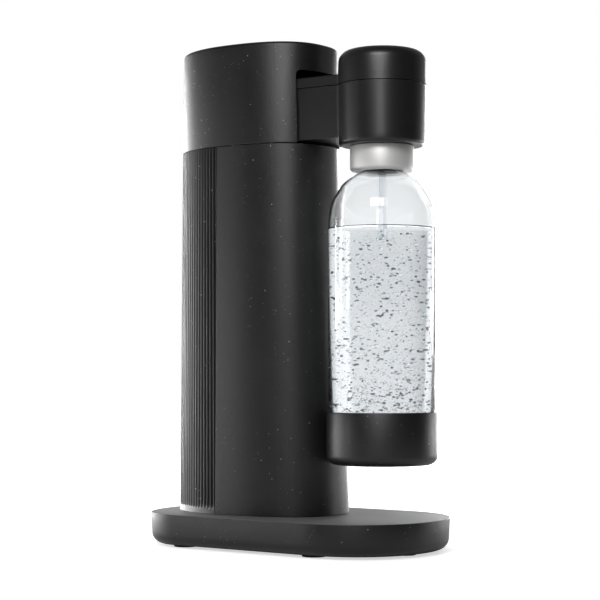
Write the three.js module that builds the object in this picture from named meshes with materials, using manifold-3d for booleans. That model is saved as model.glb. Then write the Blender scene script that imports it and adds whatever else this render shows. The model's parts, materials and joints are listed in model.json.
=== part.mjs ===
// A free-standing soda carbonator: an oval tower on a long base plate, with a hood from which an arm
// carries the carbonating head, its button and the bottle. Millimetres, +Z up, the front faces -Y.
// The origin is the middle of the footprint, on the plane that the feet stand on.

import * as THREE from 'three';
import { mergeVertices } from 'three/addons/utils/BufferGeometryUtils.js';
import Module from 'manifold-3d';

const wasm = await Module();
wasm.setup();

// Fits between pieces, and how far a cut runs past a face
const fit = { seat: 0.3, running: 0.4, overrun: 2 };

// Sides of round forms
const sides = {
  outline: 40, body: 30, head: 28, inner: 24, medium: 20, foot: 16, small: 10, curl: 8, hose: 8, screw: 6,
  wire: 5,
};

// Steps in a quarter of a round
const steps = { dome: 5, edge: 3, bevel: 1 };

// Base plate, on six feet
const base = {
  width: 154, length: 265, top: 28.5, underside: 2, wall: 3, lowerRound: 9.5, upperRound: 1, draft: 0.9,
  frontDepth: 76, rearDepth: 56, power: 2.2,
};
const floorPlate = { lip: 1.5, sunk: 0.3, thickness: 2.5, bossRadius: 4.5 };
const floorPlateScrews = { sideInset: 35, frontInset: 54.5, rearInset: 36.5 };
const foot = {
  radius: 10, chamfer: 0.5, recess: 1, sideInset: 23.4, frontInset: 27.5, middleInset: 78.5, rearInset: 51.5,
};

// Screws, small pan heads
const screw = { radius: 1.2, headRadius: 2.7, headHeight: 1.4, length: 11, hole: 1.8, pilot: 1.8 };

// Tower outline: half ovals in front of and behind one centre line, leaning back towards the top
const tower = {
  width: 104.4, centreY: 45, frontReach: 83.4, rearReach: 75.7, wall: 3,
  draft: 2.5, frontLean: 10.6, frontPower: 2.5, rearPower: 2,
};
const cover = { startY: 50, wall: 2.4, ribPitch: 4, ribDepth: 1.2, bandHeight: 4.7, bandProud: 0.7 };
const hood = {
  gap: 0.6, proud: 0.5, height: 84, slope: 0.008, wall: 3, edgeRound: 3, draft: 1.6,
  slotHalfWidth: 32.6, slotHeight: 60.7, slotRound: 4, bossRadius: 3.2, bossX: 36.3, bossY: 2,
};

// Inner frame: a folded web on a foot flange, with a deck under the hood
const frame = {
  sheet: 2.5, webY: 19, halfWidth: 37, returnDepth: 12, flangeHalfWidth: 33, flangeDepth: 32, flange: 3,
  deck: 3.5, deckDrop: 1, deckRear: 32,
};

// Gas cylinder with its brass valve, standing in a rubber cup
const cylinder = {
  y: 58, radius: 30, wall: 3.5, footRound: 6, neckRadius: 12.5, boreRadius: 8, rise: 15.5,
  neckHeight: 13, shoulderHeight: 34,
};
const cylinderCup = { floor: 2.5, rim: 8, wall: 2.8 };
const cylinderValve = {
  plugRadius: 7.7, plugLength: 14, flangeRadius: 12.3, flange: 2.7, radius: 10.4, height: 15,
  pinRadius: 1.2, pin: 1.5,
};

// Valve block: a foot on the deck, a column and a bridge over the cylinder's valve
const valveBlock = {
  halfWidth: 15, columnY: 18, column: 12, toe: 4, foot: 4, footLength: 18, bridgeRear: 16, bridgeDrop: 13,
  roof: 12, boreRadius: 10.8, passage: 2, passageRise: 6, portDrop: 5.5, portDepth: 6, portRadius: 3.7,
  screwX: 9,
};
const seal = { inner: 4, height: 2 };
const hose = { radius: 3.3, bore: 2.7, slack: 1.5, steps: 10 };
const fitting = {
  hexRadius: 4.6, hex: 4, barbRadius: 2.4, barb: 7, spigotRadius: 3.4, spigot: 5.5, bore: 1.2,
};

// Tilting joint of the arm
const tilt = {
  y: -8, rise: 13.5, barrel: 11, axle: 3, axleLength: 66, cheekRadius: 5.4, cheek: 2.7, bushWall: 1.8,
  bushFlange: 1.5, bushFlangeRadius: 7.2, plate: 2.7, plateRear: 11, screwX: 18, screwY: 6.5,
};

// Arm and head housing, one moulding
const bottleY = -83.6;
const arm = {
  halfWidth: 26,
  height: 42.4,
  wall: 2.7,
  floor: 3,
  fillet: 8,
  hoseHalfWidth: 7,
  hoseBelow: 8,
  hoseAbove: 9,
};
const head = {
  radius: 36, footRadius: 35.4, drop: 6.7, edgeRound: 3, wall: 2.7, floor: 3, bossRadius: 2.8,
  screwRadius: 29.4, screws: 3, pilotShare: 0.25,
};

// Button: a domed cap with a thin skirt round the housing, running on as the arm's cover
const button = {
  lip: 0.45, lipGap: 0.25, lipHeight: 2.3, gap: 0.5, height: 28.4, crown: 0.7, round: 9, narrowing: 0.9,
  wall: 2.4, armHeight: 8.4, armEdge: 0.8, postRadius: 6, crownShare: 0.25,
};
const leverPin = { radius: 1.5, hole: 1.9, rise: 1.1, lug: 3.5, ear: 2.6, lugRadius: 3, lugDrop: 9 };

// Silver collar, its nut, and the nozzle parts inside
const collar = {
  radius: 26.2, height: 20.3, chamfer: 3, chamferIn: 2.8, mouthRadius: 17.6, mouth: 8.3, neckRadius: 22.6,
  boreRadius: 20, neck: 8.7, lip: 1,
};
const collarNut = { radius: 26, height: 5 };
const nozzle = {
  flangeRadius: 32, flange: 4.3, spigotRadius: 19.6, spigot: 6.8, bossRadius: 7, boss: 16, tubeRadius: 3.5,
  tubeTipRadius: 3.1, tubeBore: 2, tubeLength: 80, tubeSocket: 6, ventRadius: 1.2, ventX: 3, ventY: 8,
};
const gasket = { inner: 10, outer: 17, height: 2.5 };
const valveBody = { radius: 13, height: 25.7, bore: 3, boreDepth: 16 };
const stem = { radius: 2.6, capRadius: 5, cap: 2.4, rise: 10.9, reach: 13.5 };
const pad = { radius: 5.5, height: 3 };
const relief = {
  x: 21, radius: 6, bore: 4.4, height: 15.5, roof: 3, stemRadius: 1.6, stemRise: 3, disc: 3, discRadius: 4,
};

// Springs: mean radius, wire diameter, number of curls
const stemSpring = { radius: 4, wire: 0.9, curls: 3 };
const reliefSpring = { radius: 2.9, wire: 0.7, curls: 3 };

// One litre bottle and its cup
const bottle = {
  radius: 44, wall: 1.3, height: 255, footRadius: 43.2, footRound: 14, footHeight: 40, neckRadius: 15.2,
  neckBore: 12.5, beadRadius: 17.2, beadDrop: 13, bead: 5, collarRadius: 15.9, shoulderRadius: 18.1,
  shoulderDrop: 19.8, shoulderHeight: 47.4, shoulderWall: 0.9,
};
const shoulderRadiusShares = [1, 0.985, 0.954, 0.865, 0.668, 0.568, 0.398, 0.205, 0.093, 0];
const shoulderHeightShares = [0, 0.171, 0.344, 0.517, 0.688, 0.774, 0.861, 0.93, 0.964, 1];
const cup = { radius: 45.3, wall: 1.7, height: 43.1, round: 8, floor: 3.4, rimRound: 1.2, clearance: 43.8 };

// Edges of the base
const baseSide = base.width / 2;
const baseFront = -base.length / 2;
const baseRear = base.length / 2;

// Heights that follow: the bottle hangs clear of the base, and the tower is as tall as that needs
const towerFoot = base.top + fit.seat;
const cupFoot = base.top + cup.clearance;
const bottleFoot = cupFoot + cup.floor + fit.seat;
const bottleTop = bottleFoot + bottle.height;
const spigotFoot = bottleTop + fit.seat + gasket.height + fit.seat;
const flangeFoot = spigotFoot + nozzle.spigot;
const flangeTop = flangeFoot + nozzle.flange;
const nutTop = flangeFoot - fit.seat;
const nutFoot = nutTop - collarNut.height;
const headFloor = nutFoot - fit.seat;
const headFoot = headFloor - head.floor;
const collarTop = headFoot - fit.seat;
const armFoot = headFoot + head.drop;
const armTop = armFoot + arm.height;
const buttonFoot = armTop + button.gap;
const pivotZ = armFoot + tilt.barrel;
const towerTop = pivotZ - tilt.rise;
const towerHeight = towerTop - towerFoot;
const hoodFoot = towerTop + hood.gap;
const deckTop = towerTop - frame.deckDrop;
const valveBodyFoot = flangeTop + fit.seat;
const valveBodyTop = valveBodyFoot + valveBody.height;
const stemTop = valveBodyTop + stem.rise;
const portZ = valveBodyTop - valveBlock.portDrop;
const cylinderFoot = towerFoot + cylinderCup.floor + fit.seat;
const cylinderTop = towerTop + cylinder.rise;
const cylinderValveTop = cylinderTop + fit.seat + cylinderValve.flange + cylinderValve.height;

// Colours
const composite = { color: 0x2c2c2d, roughness: 0.6, metalness: 0 };
const blackPlastic = { color: 0x242425, roughness: 0.5, metalness: 0 };
const greyPlastic = { color: 0x6b6d70, roughness: 0.5, metalness: 0 };
const rubber = { color: 0x1b1b1c, roughness: 0.85, metalness: 0 };
const silver = { color: 0xc9c8c4, roughness: 0.35, metalness: 1 };
const steel = { color: 0x9a9da0, roughness: 0.4, metalness: 1 };
const zincSheet = { color: 0xa7abad, roughness: 0.45, metalness: 1 };
const brass = { color: 0xb8964f, roughness: 0.35, metalness: 1 };
const clearPlastic = { color: 0xe4ebee, roughness: 0.08, metalness: 0, transparent: true, opacity: 0.35 };
const paleHose = { color: 0xd8dad8, roughness: 0.6, metalness: 0 };

// A closed solid from a geometry: shared corners merged, empty faces dropped, faces turned outwards
function solid(geometry) {
  const bare = geometry.clone();
  bare.deleteAttribute('normal');
  bare.deleteAttribute('uv');
  const merged = mergeVertices(bare);
  const place = merged.attributes.position;
  const faces = [];
  let volume = 0;
  const corner = [new THREE.Vector3(), new THREE.Vector3(), new THREE.Vector3()];
  for (let i = 0; i < merged.index.count; i += corner.length) {
    const face = corner.map((point, k) => merged.index.getX(i + k));
    if (new Set(face).size < corner.length) continue;
    face.forEach((index, k) => corner[k].fromBufferAttribute(place, index));
    volume += corner[0].dot(corner[1].clone().cross(corner[2]));
    faces.push(face);
  }
  const outward = volume < 0 ? faces.map(([a, b, c]) => [a, c, b]) : faces;
  return new wasm.Manifold(new wasm.Mesh({
    numProp: 3,
    vertProperties: new Float32Array(place.array),
    triVerts: new Uint32Array(outward.flat()),
  }));
}

function join(first, ...others) {
  return others.reduce((all, next) => all.add(next), first);
}

function cut(first, ...tools) {
  return tools.reduce((rest, tool) => rest.subtract(tool), first);
}

// A named sub-part from a solid, placed in its group
function piece(name, body, finish, place = [0, 0, 0]) {
  const mesh = body.getMesh();
  const geometry = new THREE.BufferGeometry();
  geometry.setAttribute(
    'position', new THREE.BufferAttribute(new Float32Array(mesh.vertProperties), mesh.numProp),
  );
  geometry.setIndex(new THREE.BufferAttribute(new Uint32Array(mesh.triVerts), 1));
  geometry.computeVertexNormals();
  const part = new THREE.Mesh(geometry, new THREE.MeshStandardMaterial(finish));
  part.name = name;
  part.position.set(...place);
  return part;
}

// Basic solids
function block([x0, x1], [y0, y1], [z0, z1]) {
  const box = new THREE.BoxGeometry(x1 - x0, y1 - y0, z1 - z0);
  return solid(box.translate((x0 + x1) / 2, (y0 + y1) / 2, (z0 + z1) / 2));
}

function turned(profile, count, [x, y] = [0, 0]) {
  const points = profile.map(([radius, z]) => new THREE.Vector2(radius, z));
  return solid(new THREE.LatheGeometry(points, count).rotateX(Math.PI / 2).translate(x, y, 0));
}

function rod(radius, [z0, z1], count, [x, y] = [0, 0]) {
  return turned([[0, z0], [radius, z0], [radius, z1], [0, z1]], count, [x, y]);
}

function ring(inner, outer, [z0, z1], count, place) {
  return turned([[inner, z0], [outer, z0], [outer, z1], [inner, z1], [inner, z0]], count, place);
}

// A rod along X through (y, z), and one along Y through (x, z)
function crossRod(radius, [x0, x1], [y, z], count) {
  const bar = new THREE.CylinderGeometry(radius, radius, x1 - x0, count).rotateZ(Math.PI / 2);
  return solid(bar.translate((x0 + x1) / 2, y, z));
}

function longRod(radius, [y0, y1], [x, z], count) {
  const bar = new THREE.CylinderGeometry(radius, radius, y1 - y0, count);
  return solid(bar.translate(x, (y0 + y1) / 2, z));
}

// A solid between closed rings of points, each ring with the same number of points
function stack(rings, caps) {
  const count = rings[0].length;
  const positions = rings.flat().flatMap((point) => point.toArray());
  const faces = [];
  for (let level = 0; level + 1 < rings.length; level += 1) {
    for (let i = 0; i < count; i += 1) {
      const next = (i + 1) % count;
      const [a, b] = [level * count + i, level * count + next];
      faces.push([a, b, b + count], [a, b + count, a + count]);
    }
  }
  const last = (rings.length - 1) * count;
  for (const [a, b, c] of caps) faces.push([a, c, b], [last + a, last + b, last + c]);
  const geometry = new THREE.BufferGeometry();
  geometry.setAttribute('position', new THREE.Float32BufferAttribute(positions, 3));
  geometry.setIndex(faces.flat());
  return solid(geometry);
}

function capOf(outline) {
  return THREE.ShapeUtils.triangulateShape(outline.map(({ x, y }) => new THREE.Vector2(x, y)), []);
}

// Raises flat outlines to rings and stacks them
function loft(levels) {
  const rings = levels.map(({ outline, z }) => outline.map(({ x, y }) => new THREE.Vector3(x, y, z)));
  return stack(rings, capOf(levels[0].outline));
}

function signedPower(value, power) {
  return Math.sign(value) * Math.abs(value) ** power;
}

// Two half ovals with straight sides between them, counter-clockwise from the left side over the front
function ovalOutline({ halfWidth, frontCentre, frontDepth, frontPower, rearCentre, rearDepth, rearPower }) {
  const half = sides.outline / 2;
  const points = [];
  for (let i = 0; i <= half; i += 1) {
    const angle = Math.PI * (i / half);
    points.push(new THREE.Vector2(
      -halfWidth * signedPower(Math.cos(angle), 2 / frontPower),
      frontCentre - frontDepth * signedPower(Math.sin(angle), 2 / frontPower),
    ));
  }
  const straight = rearCentre > frontCentre;
  for (let i = straight ? 0 : 1; i <= (straight ? half : half - 1); i += 1) {
    const angle = Math.PI * (i / half);
    points.push(new THREE.Vector2(
      halfWidth * signedPower(Math.cos(angle), 2 / rearPower),
      rearCentre + rearDepth * signedPower(Math.sin(angle), 2 / rearPower),
    ));
  }
  return points;
}

// The outline moved inwards by one distance all round
function inset(outline, distance) {
  const count = outline.length;
  const inward = outline.map((point, i) => {
    const next = outline[(i + 1) % count];
    return new THREE.Vector2(point.y - next.y, next.x - point.x).normalize();
  });
  return outline.map((point, i) => {
    const before = inward[(i + count - 1) % count];
    const both = before.clone().add(inward[i]);
    return point.clone().addScaledVector(both, distance / (1 + before.dot(inward[i])));
  });
}

function baseOutline() {
  return ovalOutline({
    halfWidth: baseSide,
    frontCentre: baseFront + base.frontDepth,
    frontDepth: base.frontDepth,
    frontPower: base.power,
    rearCentre: baseRear - base.rearDepth,
    rearDepth: base.rearDepth,
    rearPower: base.power,
  });
}

// Tower outline at a share of its height, 0 at the foot and 1 at the top
function towerOutline(heightShare, grown = 0) {
  const draft = tower.draft * heightShare - grown;
  return ovalOutline({
    halfWidth: tower.width / 2 - draft,
    frontCentre: tower.centreY,
    frontDepth: tower.frontReach - tower.frontLean * heightShare + grown,
    frontPower: tower.frontPower,
    rearCentre: tower.centreY,
    rearDepth: tower.rearReach - draft,
    rearPower: tower.rearPower,
  });
}

// Quarter-round steps as [inset, height above the start], from a level face to an upright one
function quarterRound(radius, count) {
  return Array.from({ length: count + 1 }, (_, i) => {
    const angle = (Math.PI / 2) * (i / count);
    return [radius * (1 - Math.sin(angle)), radius * (1 - Math.cos(angle))];
  });
}

const floorInset = base.lowerRound + base.draft + floorPlate.lip;
const plateFoot = base.underside + floorPlate.sunk;
const plateTop = plateFoot + floorPlate.thickness;
const floorScrewPlaces = [-1, 1].flatMap((side) => [
  [side * (baseSide - floorPlateScrews.sideInset), baseFront + floorPlateScrews.frontInset],
  [side * (baseSide - floorPlateScrews.sideInset), baseRear - floorPlateScrews.rearInset],
]);
const webRear = frame.webY;
const flangeFront = webRear - frame.flangeDepth;
const frameScrewPlaces = [-1, 1].flatMap((side) => [
  [
    side * (frame.flangeHalfWidth - frame.sheet - screw.headRadius),
    flangeFront + frame.flange + screw.headRadius,
  ],
  [side * (frame.flangeHalfWidth - frame.sheet - screw.headRadius), webRear - frame.returnDepth],
]);

const hoodScrewPlaces = [-1, 1].map((side) => [side * hood.bossX, hood.bossY]);
const blockScrewPlaces = [-1, 1].map((side) => [
  side * valveBlock.screwX, valveBlock.columnY + valveBlock.column / 2,
]);
const bracketScrewPlaces = [-1, 1].map((side) => [side * tilt.screwX, tilt.screwY]);
const holderScrewPlaces = Array.from({ length: head.screws }, (_, i) => {
  const angle = Math.PI / 2 + 2 * Math.PI * (i / head.screws);
  return [head.screwRadius * Math.cos(angle), bottleY + head.screwRadius * Math.sin(angle)];
});
const cheekInner = arm.halfWidth + fit.seat + tilt.bushFlange + fit.seat;
const cheekOuter = cheekInner + tilt.cheek;
const leverPinY = tilt.y + tilt.barrel - arm.wall - fit.running - leverPin.lugRadius;
const leverPinZ = armTop + leverPin.rise;
const lugOuter = arm.halfWidth - arm.wall + fit.seat;
const lugInner = arm.halfWidth - arm.wall - leverPin.lug;
const lugSpans = [[-lugOuter, -lugInner], [lugInner, lugOuter]];
const earOuter = lugInner - fit.seat;
const earSpans = [[-earOuter, leverPin.ear - earOuter], [earOuter - leverPin.ear, earOuter]];
const reliefPlace = [relief.x, bottleY + nozzle.ventY, flangeTop + fit.seat];

// Base: moulded shell, floor plate, screws and feet
function baseShell() {
  const outline = baseOutline();
  const lower = quarterRound(base.lowerRound, steps.edge).map(([out, up]) => ({
    out: out + base.draft, z: base.underside + up,
  }));
  const upper = quarterRound(base.upperRound, steps.bevel).reverse().map(([out, up]) => ({
    out, z: base.top - up,
  }));
  const outer = loft([...lower, ...upper].map(({ out, z }) => ({ outline: inset(outline, out), z })));
  const cavity = loft([
    { outline: inset(outline, floorInset), z: base.underside - fit.overrun },
    { outline: inset(outline, floorInset), z: plateTop + fit.seat },
    {
      outline: inset(outline, base.wall + base.draft),
      z: base.underside + base.lowerRound + base.wall,
    },
    { outline: inset(outline, base.wall), z: base.top - base.wall },
  ]);
  const bosses = floorScrewPlaces.map((place) => rod(
    floorPlate.bossRadius, [plateTop + fit.seat, base.top - base.wall / 2], sides.small, place,
  ));
  const pilots = floorScrewPlaces.map((place) => rod(
    screw.pilot, [plateFoot, plateFoot + screw.length + fit.overrun], sides.screw, place,
  ));
  const holes = frameScrewPlaces.map((place) => rod(
    screw.hole, [base.top - base.wall - fit.overrun, base.top + fit.overrun], sides.screw, place,
  ));
  return piece('base_shell', cut(join(cut(outer, cavity), ...bosses), ...pilots, ...holes), composite);
}

const footPlaces = [
  [0, baseFront + foot.frontInset],
  ...[-1, 1].flatMap((side) => [
    [side * (baseSide - foot.sideInset), baseFront + foot.middleInset],
    [side * (baseSide - foot.sideInset), baseRear - foot.rearInset],
  ]),
];

function basePlate() {
  const outline = inset(baseOutline(), floorInset + fit.seat);
  const plate = loft([{ outline, z: plateFoot }, { outline, z: plateTop }]);
  const recesses = footPlaces.map((place) => rod(
    foot.radius + fit.seat, [plateFoot - fit.overrun, plateFoot + foot.recess], sides.foot, place,
  ));
  const heads = floorScrewPlaces.map((place) => rod(
    screw.headRadius + fit.seat,
    [plateFoot - fit.overrun, plateFoot + screw.headHeight],
    sides.small, place,
  ));
  const holes = floorScrewPlaces.map((place) => rod(
    screw.hole, [plateFoot - fit.overrun, plateTop + fit.overrun], sides.screw, place,
  ));
  return piece('base_bottom', cut(plate, ...recesses, ...heads, ...holes), blackPlastic);
}

function rubberFoot(name, [x, y]) {
  const top = plateFoot + foot.recess - fit.seat;
  const body = turned([
    [0, 0], [foot.radius - foot.chamfer, 0], [foot.radius, foot.chamfer], [foot.radius, top], [0, top],
  ], sides.foot);
  return piece(name, body, rubber, [x, y, 0]);
}

// A pan head screw with the outside of its head at the given place, its shank pointing up or down
function screwPiece(name, [x, y, z], pointsUp = true) {
  const way = pointsUp ? 1 : -1;
  const head = screw.headHeight - fit.seat;
  const body = turned([
    [0, 0], [screw.headRadius, 0], [screw.headRadius, way * head], [screw.radius, way * head],
    [screw.radius, way * screw.length], [0, way * screw.length],
  ], sides.screw);
  return piece(name, body, steel, [x, y, z]);
}

function halfSpace(front, rear) {
  const reach = tower.width + base.length;
  return block([-reach, reach], [front, rear], [-reach, reach + towerTop]);
}

function towerShell() {
  const outer = loft([
    { outline: towerOutline(0), z: towerFoot }, { outline: towerOutline(1), z: towerTop },
  ]);
  const inner = loft([
    { outline: inset(towerOutline(0), tower.wall), z: towerFoot - fit.overrun },
    { outline: inset(towerOutline(1), tower.wall), z: towerTop + fit.overrun },
  ]);
  const behind = halfSpace(cover.startY, base.length);
  return piece('tower_shell', cut(outer, inner, behind), composite);
}

// Points at equal steps along the rear of an outline, from one side of the cover to the other
function rearPath(outline, startY, count) {
  const first = outline.findIndex((point, i) => {
    const next = outline[(i + 1) % outline.length];
    return point.x > 0 && point.y <= startY && next.y > startY;
  });
  const path = [];
  for (let i = 0; i < outline.length; i += 1) {
    const a = outline[(first + i) % outline.length];
    const b = outline[(first + i + 1) % outline.length];
    const share = (startY - a.y) / (b.y - a.y);
    if (i === 0) path.push(a.clone().lerp(b, share));
    if (b.y > startY) path.push(b.clone());
    else {
      path.push(a.clone().lerp(b, share));
      break;
    }
  }
  const curve = new THREE.CurvePath();
  for (let i = 0; i + 1 < path.length; i += 1) curve.add(new THREE.LineCurve(path[i], path[i + 1]));
  const points = count ? Array.from({ length: count + 1 }, (_, i) => curve.getPoint(i / count)) : [];
  return { points, length: curve.getLength() };
}

function outwardNormal(points, i) {
  const before = points[Math.max(i - 1, 0)];
  const after = points[Math.min(i + 1, points.length - 1)];
  return new THREE.Vector2(after.y - before.y, before.x - after.x).normalize();
}

const ribDepthShares = [0, 1, 1];
const ribSteps = ribDepthShares.length;
const coverStart = cover.startY + fit.running;
const ribCount = Math.round(rearPath(towerOutline(0), coverStart).length / cover.ribPitch);

// Closed outline of the cover's wall: its outer points stand in or out by the given distances in turn
function coverOutline(heightShare, outSteps) {
  const { points } = rearPath(towerOutline(heightShare), coverStart, ribCount * outSteps.length);
  const outer = points.map((point, i) => (
    point.clone().addScaledVector(outwardNormal(points, i), outSteps[i % outSteps.length])
  ));
  const inner = points.filter((point, i) => i % outSteps.length === 0);
  const within = inner.map((point, i) => (
    point.clone().addScaledVector(outwardNormal(inner, i), -cover.ribDepth - cover.wall)
  ));
  return [...outer, ...within.reverse()];
}

function rearCover() {
  const bandTop = towerFoot + cover.bandHeight;
  const bandShare = cover.bandHeight / towerHeight;
  const ribs = ribDepthShares.map((share) => -cover.ribDepth * share);
  const band = loft([
    { outline: coverOutline(0, [cover.bandProud]), z: towerFoot },
    { outline: coverOutline(bandShare, [0]), z: bandTop },
  ]);
  const ribbed = loft([
    { outline: coverOutline(bandShare, ribs), z: bandTop },
    { outline: coverOutline(1, ribs), z: towerTop },
  ]);
  return piece('rear_cover', cut(join(band, ribbed), halfSpace(-base.length, coverStart)), composite);
}

// Height of the hood's top face over a point
function hoodTopAt(y, down = 0) {
  return hoodFoot + hood.height + hood.slope * (y - tower.centreY + tower.frontReach) - down;
}

function hoodOutline(grown) {
  return towerOutline(1, grown);
}

function hoodShell() {
  const foot = hoodOutline(hood.proud);
  const top = hoodOutline(hood.proud - hood.draft);
  const round = quarterRound(hood.edgeRound, steps.edge).reverse();
  const rings = [
    foot.map(({ x, y }) => new THREE.Vector3(x, y, hoodFoot)),
    ...round.map(([out, up]) => inset(top, out).map(({ x, y }) => new THREE.Vector3(
      x, y, hoodTopAt(y, up),
    ))),
  ];
  const outer = stack(rings, capOf(foot));
  const roof = inset(top, hood.wall);
  const cavity = stack([
    inset(foot, hood.wall).map(({ x, y }) => new THREE.Vector3(x, y, hoodFoot - fit.overrun)),
    roof.map(({ x, y }) => new THREE.Vector3(x, y, hoodTopAt(y, hood.wall))),
  ], capOf(roof));
  const slotTop = hoodFoot + hood.slotHeight;
  const slotRear = tilt.y;
  const slotFront = baseFront;
  const slot = join(
    block(
      [-hood.slotHalfWidth, hood.slotHalfWidth], [slotFront, slotRear],
      [hoodFoot - fit.overrun, slotTop - hood.slotRound],
    ),
    block(
      [hood.slotRound - hood.slotHalfWidth, hood.slotHalfWidth - hood.slotRound],
      [slotFront, slotRear], [hoodFoot, slotTop],
    ),
    ...[-1, 1].map((side) => longRod(
      hood.slotRound, [slotFront, slotRear],
      [side * (hood.slotHalfWidth - hood.slotRound), slotTop - hood.slotRound], sides.small,
    )),
  );
  const bosses = [-1, 1].map((side) => rod(
    hood.bossRadius, [deckTop + fit.seat, hoodTopAt(hood.bossY, hood.wall / 2)], sides.small,
    [side * hood.bossX, hood.bossY],
  ));
  const pilots = [-1, 1].map((side) => rod(
    screw.pilot, [deckTop, deckTop + screw.length], sides.screw, [side * hood.bossX, hood.bossY],
  ));
  return piece('hood', cut(join(cut(outer, cavity, slot), ...bosses), ...pilots), composite);
}

// Inner frame: web with side returns, foot flange and deck
function innerFrame() {
  const deckFoot = deckTop - frame.deck;
  const webFront = webRear - frame.sheet;
  const outline = inset(towerOutline(1), tower.wall + fit.seat);
  const deck = cut(
    loft([{ outline, z: deckFoot }, { outline, z: deckTop }]),
    halfSpace(frame.deckRear, base.length),
  );
  const web = block(
    [-frame.halfWidth, frame.halfWidth], [webFront, webRear], [towerFoot, deckTop - frame.deck / 2],
  );
  const returns = [-1, 1].map((side) => {
    const edges = [side * frame.halfWidth, side * (frame.halfWidth - frame.sheet)].sort((a, b) => a - b);
    return block(edges, [webRear - frame.returnDepth, webRear], [towerFoot, deckTop - frame.deck / 2]);
  });
  const flange = block(
    [-frame.flangeHalfWidth, frame.flangeHalfWidth],
    [flangeFront, webRear], [towerFoot, towerFoot + frame.flange],
  );
  const footHoles = frameScrewPlaces.map((place) => rod(
    screw.hole, [towerFoot - fit.overrun, towerFoot + frame.flange + fit.overrun], sides.screw, place,
  ));
  const deckHoles = [...hoodScrewPlaces, ...blockScrewPlaces, ...bracketScrewPlaces].map((place) => rod(
    screw.hole, [deckFoot - fit.overrun, deckTop + fit.overrun], sides.screw, place,
  ));
  return piece(
    'inner_frame', cut(join(deck, web, ...returns, flange), ...footHoles, ...deckHoles), zincSheet,
  );
}

// Tilt bracket, its axle, and the bushes in the arm
function tiltBracket() {
  const foot = deckTop + fit.seat;
  const front = tilt.y - tilt.axle;
  const plate = block([-cheekOuter, cheekOuter], [front, tilt.plateRear], [foot, foot + tilt.plate]);
  const cheeks = [-1, 1].flatMap((side) => {
    const edges = [side * cheekInner, side * cheekOuter].sort((a, b) => a - b);
    return [
      block(edges, [front, tilt.y + tilt.cheekRadius], [foot, pivotZ]),
      crossRod(tilt.cheekRadius, edges, [tilt.y, pivotZ], sides.medium),
    ];
  });
  const bore = crossRod(
    tilt.axle + fit.seat,
    [-cheekOuter - fit.overrun, cheekOuter + fit.overrun],
    [tilt.y, pivotZ], sides.medium,
  );
  const holes = bracketScrewPlaces.map((place) => rod(
    screw.hole, [foot - fit.overrun, foot + tilt.plate + fit.overrun], sides.screw, place,
  ));
  return piece('tilt_bracket', cut(join(plate, ...cheeks), bore, ...holes), blackPlastic);
}

function tiltAxle() {
  const reach = tilt.axleLength / 2;
  return piece(
    'tilt_axle',
    crossRod(tilt.axle, [-reach, reach], [0, 0], sides.medium),
    steel,
    [0, tilt.y, pivotZ],
  );
}

function tiltBush(name, side) {
  const bore = tilt.axle + fit.running;
  const sleeve = bore + tilt.bushWall;
  const inner = arm.halfWidth - arm.wall;
  const middle = arm.halfWidth + fit.seat;
  const outer = middle + tilt.bushFlange;
  const span = (a, b) => [side * a, side * b].sort((first, second) => first - second);
  const body = cut(
    join(
      crossRod(sleeve, span(inner, outer), [0, 0], sides.medium),
      crossRod(tilt.bushFlangeRadius, span(middle, outer), [0, 0], sides.medium),
    ),
    crossRod(bore, span(inner - fit.overrun, outer + fit.overrun), [0, 0], sides.medium),
  );
  return piece(name, body, greyPlastic, [0, tilt.y, pivotZ]);
}

// Gas cylinder, its valve and its rubber cup, round one axis
function gasCylinder() {
  const { radius, wall, neckRadius, boreRadius, footRound, neckHeight, shoulderHeight } = cylinder;
  const height = cylinderTop - cylinderFoot;
  const neckFoot = height - neckHeight;
  const shoulderFoot = neckFoot - shoulderHeight;
  const shoulder = (inner) => Array.from({ length: steps.edge + 1 }, (_, i) => {
    const angle = (Math.PI / 2) * (i / steps.edge);
    const narrow = inner ? boreRadius : neckRadius;
    const wide = inner ? radius - wall : radius;
    return [
      narrow + (wide - narrow) * Math.cos(angle),
      shoulderFoot + (shoulderHeight - (inner ? wall : 0)) * Math.sin(angle),
    ];
  });
  const profile = [
    [0, 0], [radius - footRound, 0], [radius, footRound], ...shoulder(false), [neckRadius, height],
    [boreRadius, height], ...shoulder(true).reverse(),
    [radius - wall, footRound], [radius - footRound, wall], [0, wall],
  ];
  return piece('gas_cylinder', turned(profile, sides.inner), steel, [0, cylinder.y, cylinderFoot]);
}

function cylinderValvePiece() {
  const { plugRadius, plugLength, flangeRadius, flange, radius, height, pinRadius, pin } = cylinderValve;
  const top = flange + height;
  const profile = [
    [0, -plugLength], [plugRadius, -plugLength], [plugRadius, 0],
    [flangeRadius, 0], [flangeRadius, flange],
    [radius, flange], [radius, top], [pinRadius, top], [pinRadius, top + pin], [0, top + pin],
  ];
  return piece(
    'cylinder_valve', turned(profile, sides.medium), brass, [0, cylinder.y, cylinderTop + fit.seat],
  );
}

function cylinderCupPiece() {
  const bore = cylinder.radius + fit.seat;
  const { floor, rim, wall } = cylinderCup;
  const profile = [[0, 0], [bore + wall, 0], [bore + wall, rim], [bore, rim], [bore, floor], [0, floor]];
  return piece('cylinder_cup', turned(profile, sides.inner), rubber, [0, cylinder.y, towerFoot]);
}

function cylinderSeal() {
  const foot = cylinderValveTop + fit.seat;
  const body = ring(seal.inner, cylinderValve.radius, [0, seal.height], sides.medium);
  return piece('cylinder_seal', body, rubber, [0, cylinder.y, foot]);
}

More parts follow.
